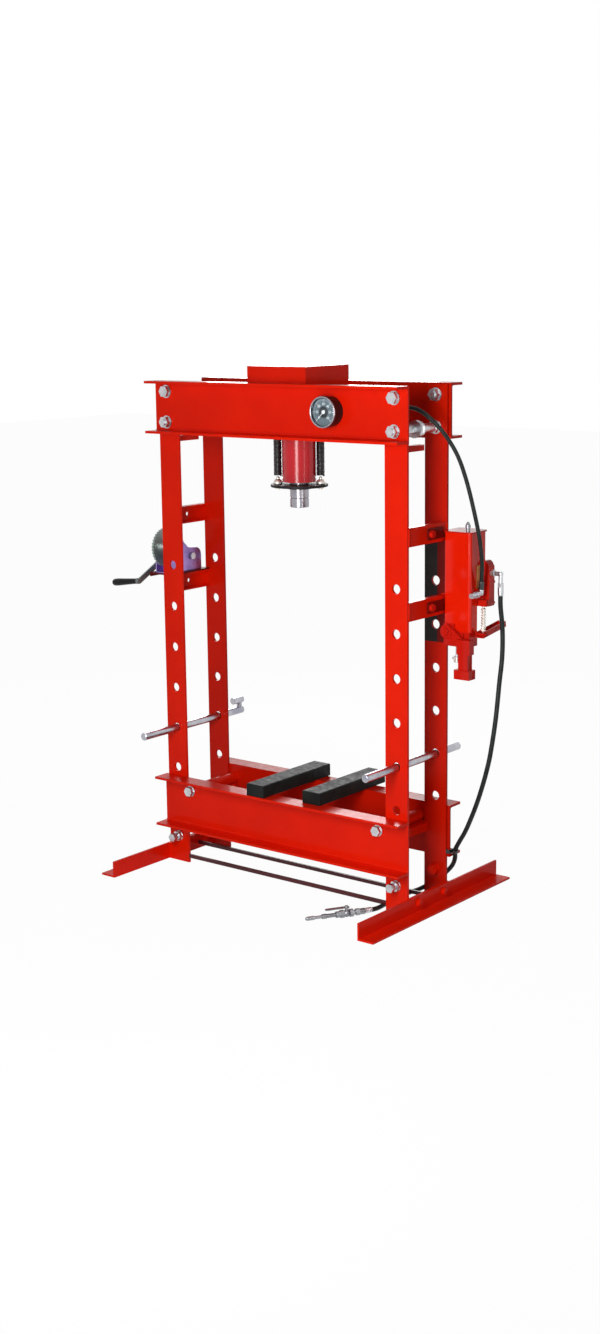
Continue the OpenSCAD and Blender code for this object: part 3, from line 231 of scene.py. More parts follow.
@dataclass(frozen=True)
class Enamel(Surface):
    """Glossy sprayed enamel with orange peel, slight clouding and settled dust."""

    colour: Colour
    deep: Colour
    rough: float = 0.35
    coat: float = 0.6
    peel: float = 0.00006
    shine: float = 0.04
    coat_ior: float = 1.2
    coat_rough: float = 0.07
    cloud_cells: float = 5.0
    dust_cells: float = 34.0
    peel_cells: float = 260.0
    sag_cells: float = 22.0
    sag: float = 0.0006

    def paint(self, nodes: Nodes) -> None:
        """Cloud the colour and lay orange peel over slow sags.

        Args:
            nodes: Nodes of the material.
        """
        nodes.tint(nodes.noise(self.cloud_cells, 4.0), (0.3, self.deep), (0.62, self.colour))
        nodes.gloss(nodes.noise(self.dust_cells, 5.0), self.rough - 0.05, self.rough + 0.09)
        nodes.set(Coat_Weight=self.coat, Coat_Roughness=self.coat_rough, Coat_IOR=self.coat_ior,
                  Specular_IOR_Level=self.shine)
        peel = nodes.bump(nodes.noise(self.peel_cells, 2.0), self.peel, 0.5)
        sag = nodes.bump(nodes.noise(self.sag_cells, 1.0), self.sag, 0.35, peel)
        nodes.join(sag, nodes.shader.inputs["Normal"])
        nodes.join(peel, nodes.shader.inputs["Coat Normal"])


@dataclass(frozen=True)
class Plate(Surface):
    """Plated, ground or cast metal with streaks along one direction."""

    colour: Colour
    second: Colour
    rough: float = 0.25
    streak: Point = (1.0, 1.0, 1.0)
    grain: float = 160.0
    depth: float = 0.00004
    metallic: float = 1.0
    cloud_cells: float = 26.0
    least_rough: float = 0.02

    def paint(self, nodes: Nodes) -> None:
        """Cloud the metal and draw its streaks.

        Args:
            nodes: Nodes of the material.
        """
        nodes.tint(nodes.noise(self.cloud_cells, 4.0), (0.34, self.second), (0.62, self.colour))
        streaks = nodes.noise(self.grain, 4.0, self.streak)
        nodes.gloss(streaks, max(self.rough - 0.06, self.least_rough), self.rough + 0.1)
        nodes.set(Metallic=self.metallic)
        nodes.relief(streaks, self.depth, 0.5)


@dataclass(frozen=True)
class Blackened(Surface):
    """Black paint or oxide on steel, a little uneven."""

    colour: Colour = (0.012, 0.013, 0.014)
    worn: Colour = (0.035, 0.037, 0.04)
    rough: float = 0.35
    grain: float = 420.0
    coat: float = 0.25
    shine: float = 0.5
    wear_cells: float = 18.0
    gloss_cells: float = 60.0
    pitting: float = 0.00012

    def paint(self, nodes: Nodes) -> None:
        """Wear the black and pit it.

        Args:
            nodes: Nodes of the material.
        """
        nodes.tint(nodes.noise(self.wear_cells, 6.0, rough=0.65), (0.4, self.colour), (0.75, self.worn))
        nodes.gloss(nodes.noise(self.gloss_cells, 4.0), self.rough - 0.08, self.rough + 0.12)
        nodes.set(Coat_Weight=self.coat, Coat_Roughness=0.2, Specular_IOR_Level=self.shine)
        nodes.relief(nodes.noise(self.grain, 3.0), self.pitting, 0.5)


@dataclass(frozen=True)
class HoseRubber(Surface):
    """Rubber cover of a hose with a faint cloth pattern pressed into it."""

    colour: Colour
    dusty: Colour
    rough: float = 0.42
    dust_cells: float = 40.0
    gloss_cells: float = 90.0
    cloth_cells: float = 700.0
    cloth_stretch: Point = (1.0, 1.0, 0.6)
    cloth_depth: float = 0.0002

    def paint(self, nodes: Nodes) -> None:
        """Dust the rubber and press the cloth into it.

        Args:
            nodes: Nodes of the material.
        """
        nodes.tint(nodes.noise(self.dust_cells, 5.0), (0.38, self.colour), (0.7, self.dusty))
        nodes.gloss(nodes.noise(self.gloss_cells, 3.0), self.rough - 0.08, self.rough + 0.1)
        nodes.set(Sheen_Weight=0.06, Sheen_Roughness=0.4, Specular_IOR_Level=0.2)
        cloth = nodes.tree.nodes.new("ShaderNodeTexVoronoi")
        cloth.inputs["Scale"].default_value = self.cloth_cells
        nodes.join(nodes.mapping(self.cloth_stretch), cloth.inputs["Vector"])
        nodes.relief(cloth.outputs["Distance"], self.cloth_depth, 0.35)


@dataclass(frozen=True)
class MouldedPlastic(Surface):
    """Moulded plastic with a fine skin."""

    colour: Colour
    second: Colour
    rough: float = 0.3
    coat: float = 0.0
    shine: float = 0.5
    cloud_cells: float = 70.0
    gloss_cells: float = 120.0
    skin_cells: float = 900.0
    skin_depth: float = 0.00003

    def paint(self, nodes: Nodes) -> None:
        """Cloud the plastic and give it a skin.

        Args:
            nodes: Nodes of the material.
        """
        nodes.tint(nodes.noise(self.cloud_cells, 3.0), (0.35, self.colour), (0.7, self.second))
        nodes.gloss(nodes.noise(self.gloss_cells, 3.0), self.rough - 0.05, self.rough + 0.06)
        nodes.set(Coat_Weight=self.coat, Coat_Roughness=0.1, Specular_IOR_Level=self.shine)
        nodes.relief(nodes.noise(self.skin_cells, 2.0), self.skin_depth, 0.4)


@dataclass(frozen=True)
class ClearGlass(Surface):
    """Clear window of the gauge."""

    colour: Colour = (0.97, 0.99, 1.0)
    rough: float = 0.02
    ior: float = 1.1
    cover: float = 0.35
    smear_cells: float = 50.0

    def paint(self, nodes: Nodes) -> None:
        """Let light through, with faint smears.

        Args:
            nodes: Nodes of the material.
        """
        nodes.set(Transmission_Weight=1.0, IOR=self.ior, Alpha=self.cover, Base_Color=(*self.colour, 1.0))
        nodes.gloss(nodes.noise(self.smear_cells, 2.0), self.rough, self.rough + 0.02)


class Finish(Enum):
    """Every finish of the press; the value describes it."""

    RED = Enamel("red_enamel", (0.84, 0.0145, 0.0012), (0.76, 0.0115, 0.001), coat=0.38, coat_rough=0.16)
    # Darker copy of the red for the rear beam, posts and bed channel: painted shade, as less light reaches
    # the back.
    REAR_RED = Enamel("rear_red_enamel", (0.61, 0.0105, 0.001), (0.54, 0.0085, 0.0008), coat=0.38,
                      coat_rough=0.16)
    CYLINDER = Enamel("cylinder_enamel", (0.60, 0.005, 0.014), (0.52, 0.004, 0.011), rough=0.2, coat=1.0,
                      peel=0.00001, shine=0.03, coat_ior=1.42, coat_rough=0.19)
    TANK = Enamel("tank_enamel", (0.86, 0.0145, 0.0012), (0.78, 0.0115, 0.001), rough=0.3, coat=0.9,
                  peel=0.00003, shine=0.03, coat_ior=1.3, coat_rough=0.12)
    PUMP = Enamel("pump_enamel", (0.66, 0.014, 0.006), (0.56, 0.010, 0.005), rough=0.3, coat=0.8)
    # Dark red. On the pump straps and on the back post beside the pump, it is painted shade.
    DEEP = Enamel("deep_enamel", (0.17, 0.005, 0.003), (0.12, 0.004, 0.003), rough=0.4, coat=0.4)
    # Red darkened to maroon for the floor bars: painted shade under the bed.
    MAROON = Enamel("maroon_enamel", (0.085, 0.010, 0.014), (0.06, 0.007, 0.010), rough=0.34, coat=0.5,
                    shine=0.15, coat_ior=1.3)
    ZINC = Plate("zinc_plate", (0.62, 0.63, 0.65), (0.46, 0.47, 0.50), rough=0.3)
    PIN_ZINC = Plate("pin_zinc", (0.50, 0.50, 0.54), (0.34, 0.34, 0.40), rough=0.24,
                     streak=(1.0, 0.05, 1.0), grain=240.0)
    SATIN = Plate("satin_steel", (0.36, 0.35, 0.38), (0.29, 0.28, 0.31), rough=0.2,
                  streak=(1.0, 1.0, 0.08), grain=300.0, depth=0.000008)
    DULL = Plate("dull_nickel", (0.36, 0.365, 0.38), (0.22, 0.225, 0.24), rough=0.36)
    VIOLET = Plate("violet_passivate", (0.36, 0.24, 0.55), (0.22, 0.16, 0.40), rough=0.32, grain=90.0)
    GEAR = Plate("green_passivate", (0.31, 0.38, 0.35), (0.22, 0.27, 0.26), rough=0.36, grain=130.0,
                 depth=0.00006, metallic=0.7)
    CRANK = Plate("crank_steel", (0.20, 0.23, 0.225), (0.13, 0.15, 0.145), rough=0.36, grain=130.0,
                  depth=0.00006, metallic=0.7)
    BRONZE = Plate("sight_bronze", (0.50, 0.27, 0.10), (0.36, 0.18, 0.07), rough=0.34)
    CREAM = Plate("cream_passivate", (0.90, 0.87, 0.80), (0.70, 0.66, 0.60), rough=0.38)
    BLACK = Blackened("black_oxide")
    FORGED = Blackened("forged_plate", (0.012, 0.008, 0.009), (0.026, 0.020, 0.022), rough=0.5,
                       grain=300.0, coat=0.0, shine=0.15)
    SPRING = Blackened("spring_black", (0.008, 0.008, 0.009), (0.022, 0.023, 0.025), rough=0.25,
                       grain=500.0, coat=0.5)
    CASE = Blackened("gauge_black", (0.007, 0.008, 0.008), (0.014, 0.016, 0.016), rough=0.4,
                     grain=700.0, coat=0.15, shine=0.25)
    IRON = Blackened("block_iron", (0.007, 0.009, 0.008), (0.018, 0.022, 0.020), rough=0.55,
                     grain=260.0, coat=0.0, shine=0.12)
    # Near black of the pump's shadow, painted onto the front of the back post.
    SOOT = Blackened("post_backing", (0.010, 0.008, 0.008), (0.022, 0.018, 0.018), rough=0.5,
                     grain=300.0, coat=0.0, shine=0.15)
    HOSE = HoseRubber("hose_rubber", (0.007, 0.010, 0.009), (0.018, 0.025, 0.022))
    GRIP = MouldedPlastic("grip_black", (0.004, 0.004, 0.004), (0.008, 0.008, 0.008), coat=0.1, shine=0.12)
    DIAL = MouldedPlastic("dial_face", (0.085, 0.125, 0.150), (0.13, 0.175, 0.20), rough=0.4)
    DIAL_INK = MouldedPlastic("dial_ink", (0.85, 0.88, 0.9), (0.78, 0.82, 0.85), rough=0.5)
    DIAL_DARK = MouldedPlastic("dial_dark", (0.012, 0.016, 0.02), (0.02, 0.025, 0.03), rough=0.4)
    GLASS = ClearGlass("gauge_window")


class Store:
    """Keeps one built material for each finish."""

    built: dict[Finish, bpy.types.Material] = {}

    @classmethod
    def material(cls, finish: Finish) -> bpy.types.Material:
        """Build a finish on its first use.

        Args:
            finish: The finish.

        Returns:
            Its material.
        """
        if finish not in cls.built:
            cls.built[finish] = finish.value.build()
        return cls.built[finish]

    @classmethod
    def dress(cls, piece: Piece, finish: Finish) -> None:
        """Give a piece one finish."""
        piece.data.materials.clear()
        piece.data.materials.append(cls.material(finish))

    @classmethod
    def add(cls, piece: Piece, finish: Finish, want: Callable[[bpy.types.MeshPolygon], bool]) -> None:
        """Give some faces of a piece a finish of their own.

        Args:
            piece: Object that already has its main finish.
            finish: The other finish.
            want: Test of a face.
        """
        piece.data.materials.append(cls.material(finish))
        slot = len(piece.data.materials) - 1
        for face in piece.data.polygons:
            if want(face):
                face.material_index = slot


# ------------------------------------------------------------------ the bench


class Bench:
    """Modelling steps that the sub-assemblies share; angles in degrees."""

    least_broken = 35.0
    least_sharp = 32.0

    @staticmethod
    def clear() -> None:
        """Leave edit mode and deselect everything."""
        if bpy.context.object is not None and bpy.context.object.mode != "OBJECT":
            bpy.ops.object.mode_set(mode="OBJECT")
        bpy.ops.object.select_all(action="DESELECT")

    @staticmethod
    def focus(piece: Piece) -> None:
        """Select one object alone and make it active.

        Args:
            piece: Object to select.
        """
        Bench.clear()
        piece.select_set(True)
        bpy.context.view_layer.objects.active = piece

    @staticmethod
    @contextmanager
    def editing(piece: Piece) -> Iterator[None]:
        """Edit a piece's mesh, with all of it selected at first.

        Args:
            piece: Object to edit.
        """
        Bench.focus(piece)
        bpy.ops.object.mode_set(mode="EDIT")
        bpy.ops.mesh.select_all(action="SELECT")
        yield
        bpy.ops.object.mode_set(mode="OBJECT")

    @staticmethod
    def settle(piece: Piece, name: str) -> Piece:
        """Name a piece and move its place into its mesh.

        Args:
            piece: Object to settle.
            name: Its name.

        Returns:
            The same object, at the origin.
        """
        Bench.focus(piece)
        bpy.ops.object.transform_apply(location=True, rotation=True, scale=True)
        piece.name = name
        piece.data.name = name
        return piece

    @staticmethod
    def turn_to(axis: Sequence[float]) -> tuple[float, float, float]:
        """Return the Euler turn that takes +Z to an axis."""
        return tuple(Vector((0, 0, 1)).rotation_difference(Vector(axis)).to_euler())

    @staticmethod
    def pick(piece: Piece, want: Callable[[bmesh.types.BMFace], bool]) -> None:
        """Select the faces of the edited mesh that pass a test.

        Args:
            piece: Object in edit mode.
            want: Test of a face.
        """
        mesh = bmesh.from_edit_mesh(piece.data)
        bpy.ops.mesh.select_all(action="DESELECT")
        bpy.ops.mesh.select_mode(type="FACE")
        for face in mesh.faces:
            face.select_set(bool(want(face)))
        bmesh.update_edit_mesh(piece.data)

    @staticmethod
    def modify(piece: Piece, kind: str, **values: object) -> None:
        """Add one modifier and apply it.

        Args:
            piece: Object to change.
            kind: Type of the modifier.
            **values: Its settings.
        """
        Bench.focus(piece)
        modifier = piece.modifiers.new(kind.lower(), kind)
        for key, value in values.items():
            setattr(modifier, key, value)
        bpy.ops.object.modifier_apply(modifier=modifier.name)

    @staticmethod
    def smooth(piece: Piece, angle: float = least_sharp) -> None:
        """Shade a piece smooth, with edges sharper than the angle kept."""
        Bench.focus(piece)
        bpy.ops.object.shade_smooth_by_angle(angle=math.radians(angle))

    @staticmethod
    def weigh_normals(piece: Piece) -> None:
        """Let the normals follow the large faces, so that broken edges look crisp."""
        Bench.modify(piece, "WEIGHTED_NORMAL", keep_sharp=True, weight=60)

    @staticmethod
    def turned(name: str, profile: Sequence[tuple[float, float]], origin: Sequence[float],
               axis: Sequence[float], sides: int) -> Piece:
        """Turn a closed piece from a profile, step by step along its axis.

        Args:
            name: Name of the piece.
            profile: Radius and height of each step, from foot to top.
            origin: Point where the height is 0.
            axis: Direction of growing height.
            sides: Sides of the circle.

        Returns:
            The piece, at the origin.
        """
        (r0, z0), (r1, z1) = profile[0], profile[1]
        Bench.clear()
        bpy.ops.mesh.primitive_cone_add(vertices=sides, radius1=r0, radius2=r1, depth=z1 - z0,
                                        location=(0, 0, (z0 + z1) / 2), end_fill_type="NGON")
        piece = bpy.context.object
        bpy.ops.object.transform_apply(location=True)
        with Bench.editing(piece):
            Bench.pick(piece, lambda f: f.normal.z > 0.99 and abs(f.calc_center_median().z - z1) < 1e-6)
            for (ra, za), (rb, zb) in zip(profile[1:], profile[2:]):
                bpy.ops.mesh.extrude_region_move(TRANSFORM_OT_translate={"value": (0, 0, zb - za)})
                if abs(rb - ra) > 1e-7:
                    bpy.ops.transform.resize(value=(rb / ra, rb / ra, 1), center_override=(0, 0, zb))
        piece.rotation_euler = Bench.turn_to(axis)
        piece.location = origin
        Bench.settle(piece, name)
        with Bench.editing(piece):
            bpy.ops.mesh.remove_doubles(threshold=0.00001)
            bpy.ops.mesh.normals_make_consistent(inside=False)
        Bench.smooth(piece)
        return piece

    @staticmethod
    def join(name: str, pieces: Sequence[Piece]) -> Piece:
        """Join pieces into one object.

        Args:
            name: Name of the whole.
            pieces: Objects to join.

        Returns:
            The whole, at the origin.
        """
        Bench.focus(pieces[0])
        for piece in pieces:
            piece.select_set(True)
        bpy.ops.object.join()
        return Bench.settle(pieces[0], name)

    @staticmethod
    def broken_edges(node: str, width: float, segments: int) -> Piece:
        """Copy a solid of the frame, break its edges and let the copy stand for it.

        Args:
            node: Name of the solid.
            width: Width of the broken edges.
            segments: Steps across an edge.

        Returns:
            The copy, riding on the body of the solid.
        """
        source = frame["nodes"][node]
        piece = bpy.data.objects.new(node + "_steel", source.data.copy())
        bpy.context.scene.collection.objects.link(piece)
        with Bench.editing(piece):
            bpy.ops.mesh.remove_doubles(threshold=0.00002)
            bpy.ops.mesh.dissolve_limited(angle_limit=math.radians(1.0))
        Bench.modify(piece, "BEVEL", width=width, segments=segments, limit_method="ANGLE",
                     angle_limit=math.radians(Bench.least_broken), use_clamp_overlap=True,
                     loop_slide=False)
        Bench.smooth(piece)
        Bench.weigh_normals(piece)
        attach(piece, str(source["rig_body"]))
        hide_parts(node)
        return piece


def mm(*values: float) -> tuple[float, ...]:
    """Turn millimetres into metres."""
    return tuple(v / 1000 for v in values)


def from_joint(name: str, key: str) -> Point:
    """Return the place ("pos_m") or the direction ("axis") of a joint of the frame."""
    return next(tuple(joint[key]) for joint in frame["joints"] if joint["name"] == name)


# ------------------------------------------------------------------ camera


@dataclass
class Viewpoint:
    """Camera that looks at the press from its right front; angles in degrees, lens in millimetres."""

    place: Point = (3.8571, -4.8661, 2.0507)
    azimuth: float = 38.45
    pitch: float = 11.14
    roll: float = -0.71
    lens: float = 48.2222
    sensor: float = 36.0
    shift: float = -0.010495

    def build(self) -> None:
        """Create the camera and make it the scene's own."""
        az, p, r = (math.radians(v) for v in (self.azimuth, self.pitch, self.roll))
        ahead = Vector((-math.sin(az) * math.cos(p), math.cos(az) * math.cos(p), -math.sin(p)))
        right = Vector((math.cos(az), math.sin(az), 0))
        up = right.cross(ahead)
        right, up = right * math.cos(r) + up * math.sin(r), up * math.cos(r) - right * math.sin(r)
        data = bpy.data.cameras.new("view")
        data.sensor_fit = "VERTICAL"
        data.sensor_height = self.sensor
        data.lens = self.lens
        data.shift_y = self.shift
        camera = bpy.data.objects.new("view", data)
        bpy.context.scene.collection.objects.link(camera)
        turn = Matrix((right, up, -ahead)).transposed().to_4x4()
        camera.matrix_world = Matrix.Translation(self.place) @ turn
        bpy.context.scene.camera = camera


# ------------------------------------------------------------------ hoses


@dataclass(frozen=True)
class Collar:
    """Form of a steel collar pressed onto the end of a hose."""

    name: str
    radius: float
    length: float = 0.03
    ribs: int = 4
    finish: Finish = Finish.ZINC

    def build(self, foot: Vector, axis: Vector) -> None:
        """Turn the collar.

        Args:
            foot: Middle of the hose's end.
            axis: Direction along the hose.
        """
        r = self.radius
        profile: list[tuple[float, float]] = [(r * 0.9, 0.0), (r, 0.0015)]
        step = (self.length - 0.006) / self.ribs
        for i in range(self.ribs):
            z = 0.003 + i * step
            profile += [(r, z + step * 0.55), (r * 0.93, z + step * 0.65), (r * 0.93, z + step * 0.85),
                        (r, z + step * 0.95)]
        profile += [(r * 0.92, self.length)]
        piece = Bench.turned(self.name, profile, foot, axis, 36)
        Store.dress(piece, self.finish)
        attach(piece, "frame")


@dataclass(frozen=True)
class Hose:
    """Rubber hose along a smooth curve through a route in millimetres, with a collar at each end."""

    name: str
    node: str
    diameter: float
    length: float
    far_end: str
    route: Sequence[Point]
    top_collar: Collar
    foot_collar: Collar
    with_nodes: Sequence[str] = ()
    steps: int = 8

    def line(self) -> list[Vector]:
        """Smooth the route.

        Returns:
            The points of the curve.
        """
        points = [Vector(mm(*p)) for p in self.route]
        result: list[Vector] = []
        for i in range(len(points) - 1):
            a, b = points[max(i - 1, 0)], points[i]
            c, d = points[i + 1], points[min(i + 2, len(points) - 1)]
            for k in range(self.steps):
                t = k / self.steps
                result.append(0.5 * (2 * b + (c - a) * t + (2 * a - 5 * b + 4 * c - d) * t * t
                                     + (3 * b - a - 3 * c + d) * t * t * t))
        result.append(points[-1])
        return result

    def build(self) -> None:
        line = self.line()
        data = bpy.data.curves.new(self.name, "CURVE")
        data.dimensions = "3D"
        data.bevel_depth = self.diameter / 2
        data.bevel_resolution = 6
        data.use_fill_caps = True
        spline = data.splines.new("POLY")
        spline.points.add(len(line) - 1)
        for point, place in zip(spline.points, line):
            point.co = (*place, 1.0)
        spline.use_smooth = True
        hose = bpy.data.objects.new(self.name, data)
        bpy.context.scene.collection.objects.link(hose)
        Store.dress(hose, Finish.HOSE)
        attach(hose, "frame")
        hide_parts(self.node)
        measured = sum((b - a).length for a, b in zip(line, line[1:]))
        log.info("%s: %.3f m along its curve", self.name, measured)

    def collars(self) -> None:
        """Press a collar onto each end."""
        route = [Vector(mm(*p)) for p in self.route]
        for collar, end, near in ((self.top_collar, route[0], route[1]),
                                  (self.foot_collar, route[-1], route[-2])):
            collar.build(end, (near - end).normalized())


HOSES: list[Hose] = [
    Hose("pressure_hose", "oil_hose", diameter=0.014, length=0.907, far_end="object",
         top_collar=Collar("oil_collar_top", radius=0.0088),
         foot_collar=Collar("oil_collar_foot", radius=0.0088, length=0.028, finish=Finish.BLACK),
         route=((287, -92, 1691), (330, -91, 1693), (375, -74, 1698), (415, -44, 1703),
                (455, -13, 1705), (500, 3, 1696), (548, 14, 1662), (588, 34, 1611), (620, 56, 1545),
                (645, 71, 1462), (667, 84, 1360), (680, 97, 1270), (679, 114, 1190),
                (672, 124, 1138), (668, 128, 1098))),
    Hose("air_line", "air_hose", diameter=0.016, length=1.503, far_end="connector",
         with_nodes=("air_inlet", "quick_plug", "valve_lever"),
         top_collar=Collar("air_collar_top", radius=0.0096, length=0.009, ribs=1),
         foot_collar=Collar("air_collar_foot", radius=0.0096),
         route=((714, 176, 1084), (714, 176, 1040), (720, 180, 960), (726, 170, 870),
                (727, 152, 780), (730, 126, 660), (722, 108, 545), (710, 102, 480), (690, 106, 420),
                (667, 112, 362), (641, 118, 305), (613, 124, 250), (584, 130, 205), (565, 135, 172),
                (558, 144, 140), (540, 156, 108), (513, 163, 78), (484, 158, 50), (455, 139, 26),
                (433, 103, 11), (421, 30, 9.5), (425, -70, 9), (430, -145, 9.5), (417, -198, 13)))]


# ------------------------------------------------------------------ sub-assemblies


@dataclass(frozen=True)
class ReturnSpring:
    """Tension spring wound from round wire, with the domed nut under its plate."""

    name: str
    node: str
    nut: str
    place: tuple[float, float]
    across: float = 0.0295
    wire: float = 0.0045
    closeness: float = 1.02
    wire_sides: int = 10
    coil_sides: int = 18
    nut_radius: float = 0.016

    def build(self) -> None:
        """Wind the spring, stretched between the frame and the ram."""
        low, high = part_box(self.node)
        foot, top = low.z, high.z
        turns = round((top - foot) / (self.wire * self.closeness))
        Bench.clear()
        bpy.ops.mesh.primitive_circle_add(
            vertices=self.wire_sides, radius=self.wire / 2, fill_type="NOTHING",
            location=(self.across / 2 - self.wire / 2, 0, 0), rotation=(math.pi / 2, 0, 0))
        coil = bpy.context.object
        bpy.ops.object.transform_apply(location=True, rotation=True, scale=True)
        Bench.modify(coil, "SCREW", angle=2 * math.pi * turns, iterations=1, axis="Z",
                     use_merge_vertices=False, screw_offset=top - foot - self.wire,
                     steps=self.coil_sides * turns, render_steps=self.coil_sides * turns)
        coil.location = (*self.place, foot + self.wire / 2)
        Bench.settle(coil, self.name)
        with Bench.editing(coil):
            bpy.ops.mesh.fill_holes(sides=12)
            bpy.ops.mesh.normals_make_consistent(inside=False)
        Bench.smooth(coil, 60)
        Store.dress(coil, Finish.SPRING)
        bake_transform(coil)
        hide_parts(self.node)

    def hold(self) -> None:
        """Turn the domed nut, which rides on the ram."""
        r = self.nut_radius
        profile = [(r * 0.96, 0.0), (r, 0.001), (r, 0.0065), (r * 0.94, 0.0075), (r * 0.90, 0.009),
                   (r * 0.80, 0.0125), (r * 0.62, 0.0155), (r * 0.36, 0.0175), (r * 0.1, 0.018)]
        _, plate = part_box("spring_plate")
        nut = Bench.turned(self.nut, profile, (*self.place, plate.z), Axis.UP.value, 36)
        Store.dress(nut, Finish.CREAM)
        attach(nut, "ram")


SPRINGS: list[ReturnSpring] = [
    ReturnSpring("return_spring_left", "spring_left", "spring_nut_left", (-0.06495, -0.0375)),
    ReturnSpring("return_spring_right", "spring_right", "spring_nut_right", (0.06495, 0.0375))]


@dataclass
class PressureGauge:
    """Round gauge on the front beam: dial with a scale, needle and window."""

    pivot: Point = field(default_factory=lambda: from_joint("needle_turn", "pos_m"))
    numbers: Sequence[str] = ("0", "10", "20", "30", "40", "50", "60")
    marks_between: int = 5
    sweep: float = 270.0
    number_height: float = 0.0115
    ring_wall: float = 0.0032

    def at(self, depth: float) -> Point:
        """Return the point of the gauge's axis at one depth."""
        return (self.pivot[0], depth, self.pivot[2])

    def spot(self, angle: float, radius: float, depth: float) -> Point:
        """Return a point on the dial, from an angle to the vertical in degrees."""
        a = math.radians(angle)
        return (self.pivot[0] + radius * math.sin(a), depth, self.pivot[2] + radius * math.cos(a))

    def angle(self, step: int, steps: int) -> float:
        """Return the angle of one step of the scale."""
        return -self.sweep / 2 + self.sweep * step / steps

    def round(self, name: str, profile: Sequence[tuple[float, float]], depth: float,
              finish: Finish, sides: int = 64) -> Piece:
        """Turn one piece about the gauge's axis.

        Args:
            name: Name of the piece.
            profile: Radius and height of each step, towards the front.
            depth: Y of the piece's back.
            finish: Its finish.
            sides: Sides of the circle.

        Returns:
            The piece, riding on the frame.
        """
        piece = Bench.turned(name, profile, self.at(depth), Axis.FRONT.value, sides)
        Store.dress(piece, finish)
        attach(piece, "frame")
        return piece

    def mark(self, angle: float, radius: float, depth: float, long: bool) -> Piece:
        """Make one mark of the scale.

        Args:
            angle: Its angle in degrees.
            radius: Radius of the dial.
            depth: Y of the mark's middle.
            long: Whether a number belongs to it.

        Returns:
            The mark.
        """
        inner, outer = radius * (0.74 if long else 0.81), radius * 0.9
        width = 0.0016 if long else 0.0008
        Bench.clear()
        bpy.ops.mesh.primitive_cube_add(
            size=1, location=self.spot(angle, (inner + outer) / 2, depth),
            scale=(width, 0.0005, outer - inner), rotation=(0, math.radians(angle), 0))
        mark = Bench.settle(bpy.context.object, "mark")
        with Bench.editing(mark):
            Bench.pick(mark, lambda f: f.normal.y < -0.9)
            bpy.ops.mesh.inset(thickness=width * 0.15)
        return mark

    def number(self, word: str, place: Point) -> Piece:
        """Write one number of the scale.

        Args:
            word: The number.
            place: Its middle.

        Returns:
            The number as a mesh.
        """
        Bench.clear()
        bpy.ops.object.text_add(location=place, rotation=(math.pi / 2, 0, 0))
        text = bpy.context.object.data
        text.body = word
        text.size = self.number_height
        text.align_x = "CENTER"
        text.align_y = "CENTER"
        text.extrude = 0.0002
        bpy.ops.object.convert(target="MESH")
        return Bench.settle(bpy.context.object, "number")

    def build(self) -> None:
        """Make the dial, its scale, the needle, the bezel and the window."""
        low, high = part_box("gauge_dial")
        r = (high.x - low.x) / 2
        face = low.y - 0.0004
        plate = self.round("dial_plate", [(r * 0.985, 0.0), (r * 0.985, 0.0003), (r * 0.97, 0.0005)],
                           low.y + 0.0001, Finish.DIAL)
        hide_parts("gauge_dial")
        self.round("dial_ring", [(r * 0.40, 0.0), (r * 0.40, 0.0002), (r * 0.39, 0.0003)],
                   face, Finish.DIAL_DARK, 48)
        gaps = len(self.numbers) - 1
        steps = gaps * self.marks_between
        ink = [self.mark(self.angle(i, steps), r, face - 0.0003, i % self.marks_between == 0)
               for i in range(steps + 1)]
        ink += [self.number(word, self.spot(self.angle(i, gaps), r * 0.56, face - 0.0002))
                for i, word in enumerate(self.numbers)]
        scale = Bench.join("dial_scale", ink)
        Store.dress(scale, Finish.DIAL_INK)
        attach(scale, "frame")
        self.needle(r, face - 0.0012)
        self.bezel()
        bezel_low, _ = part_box("gauge_bezel")
        self.round("gauge_window", [(r, 0.0), (r, 0.0012), (r * 0.7, 0.0022), (r * 0.35, 0.0028),
                                    (r * 0.05, 0.003)], bezel_low.y + 0.0045, Finish.GLASS)

    def needle(self, radius: float, depth: float) -> None:
        """Make the tapered needle with its hub, which turns on its own body.

        Args:
            radius: Radius of the dial.
            depth: Y of the needle's middle.
        """
        Bench.clear()
        bpy.ops.mesh.primitive_cube_add(size=1, scale=(0.0032, 0.0008, radius * 0.86),
                                        location=(0, 0, radius * 0.25))
        blade = bpy.context.object
        bpy.ops.object.transform_apply(location=True, scale=True)
        with Bench.editing(blade):
            Bench.pick(blade, lambda f: f.normal.z > 0.9)
            bpy.ops.transform.resize(value=(0.25, 1, 1), center_override=(0, 0, radius * 0.68))
        blade.rotation_euler = (0, math.radians(-self.sweep / 2), 0)
        blade.location = self.at(depth)
        Bench.settle(blade, "blade")
        hub = Bench.turned("hub", [(0.0065, 0.0), (0.0065, 0.0015), (0.005, 0.0022), (0.0015, 0.0026)],
                           self.at(depth + 0.0008), Axis.FRONT.value, 32)
        needle = Bench.join("gauge_pointer", [blade, hub])
        Store.dress(needle, Finish.DIAL_INK)
        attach(needle, "needle")
        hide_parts("gauge_needle")

    def bezel(self) -> None:
        """Make the rounded ring in front of the case."""
        low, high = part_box("gauge_bezel")
        wall = self.ring_wall
        depth = (low.y + high.y) / 2
        Bench.clear()
        bpy.ops.mesh.primitive_torus_add(
            major_segments=72, minor_segments=16, major_radius=(high.x - low.x) / 2 - wall,
            minor_radius=wall, location=self.at(depth), rotation=(math.pi / 2, 0, 0))
        ring = Bench.settle(bpy.context.object, "gauge_ring")
        with Bench.editing(ring):
            Bench.pick(ring, lambda f: f.calc_center_median().y > depth + wall * 0.35)
            bpy.ops.transform.translate(value=(0, max(high.y - depth - wall, 0.0), 0))
        Bench.smooth(ring, 60)
        Store.dress(ring, Finish.SATIN)
        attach(ring, "frame")
        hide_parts("gauge_bezel")


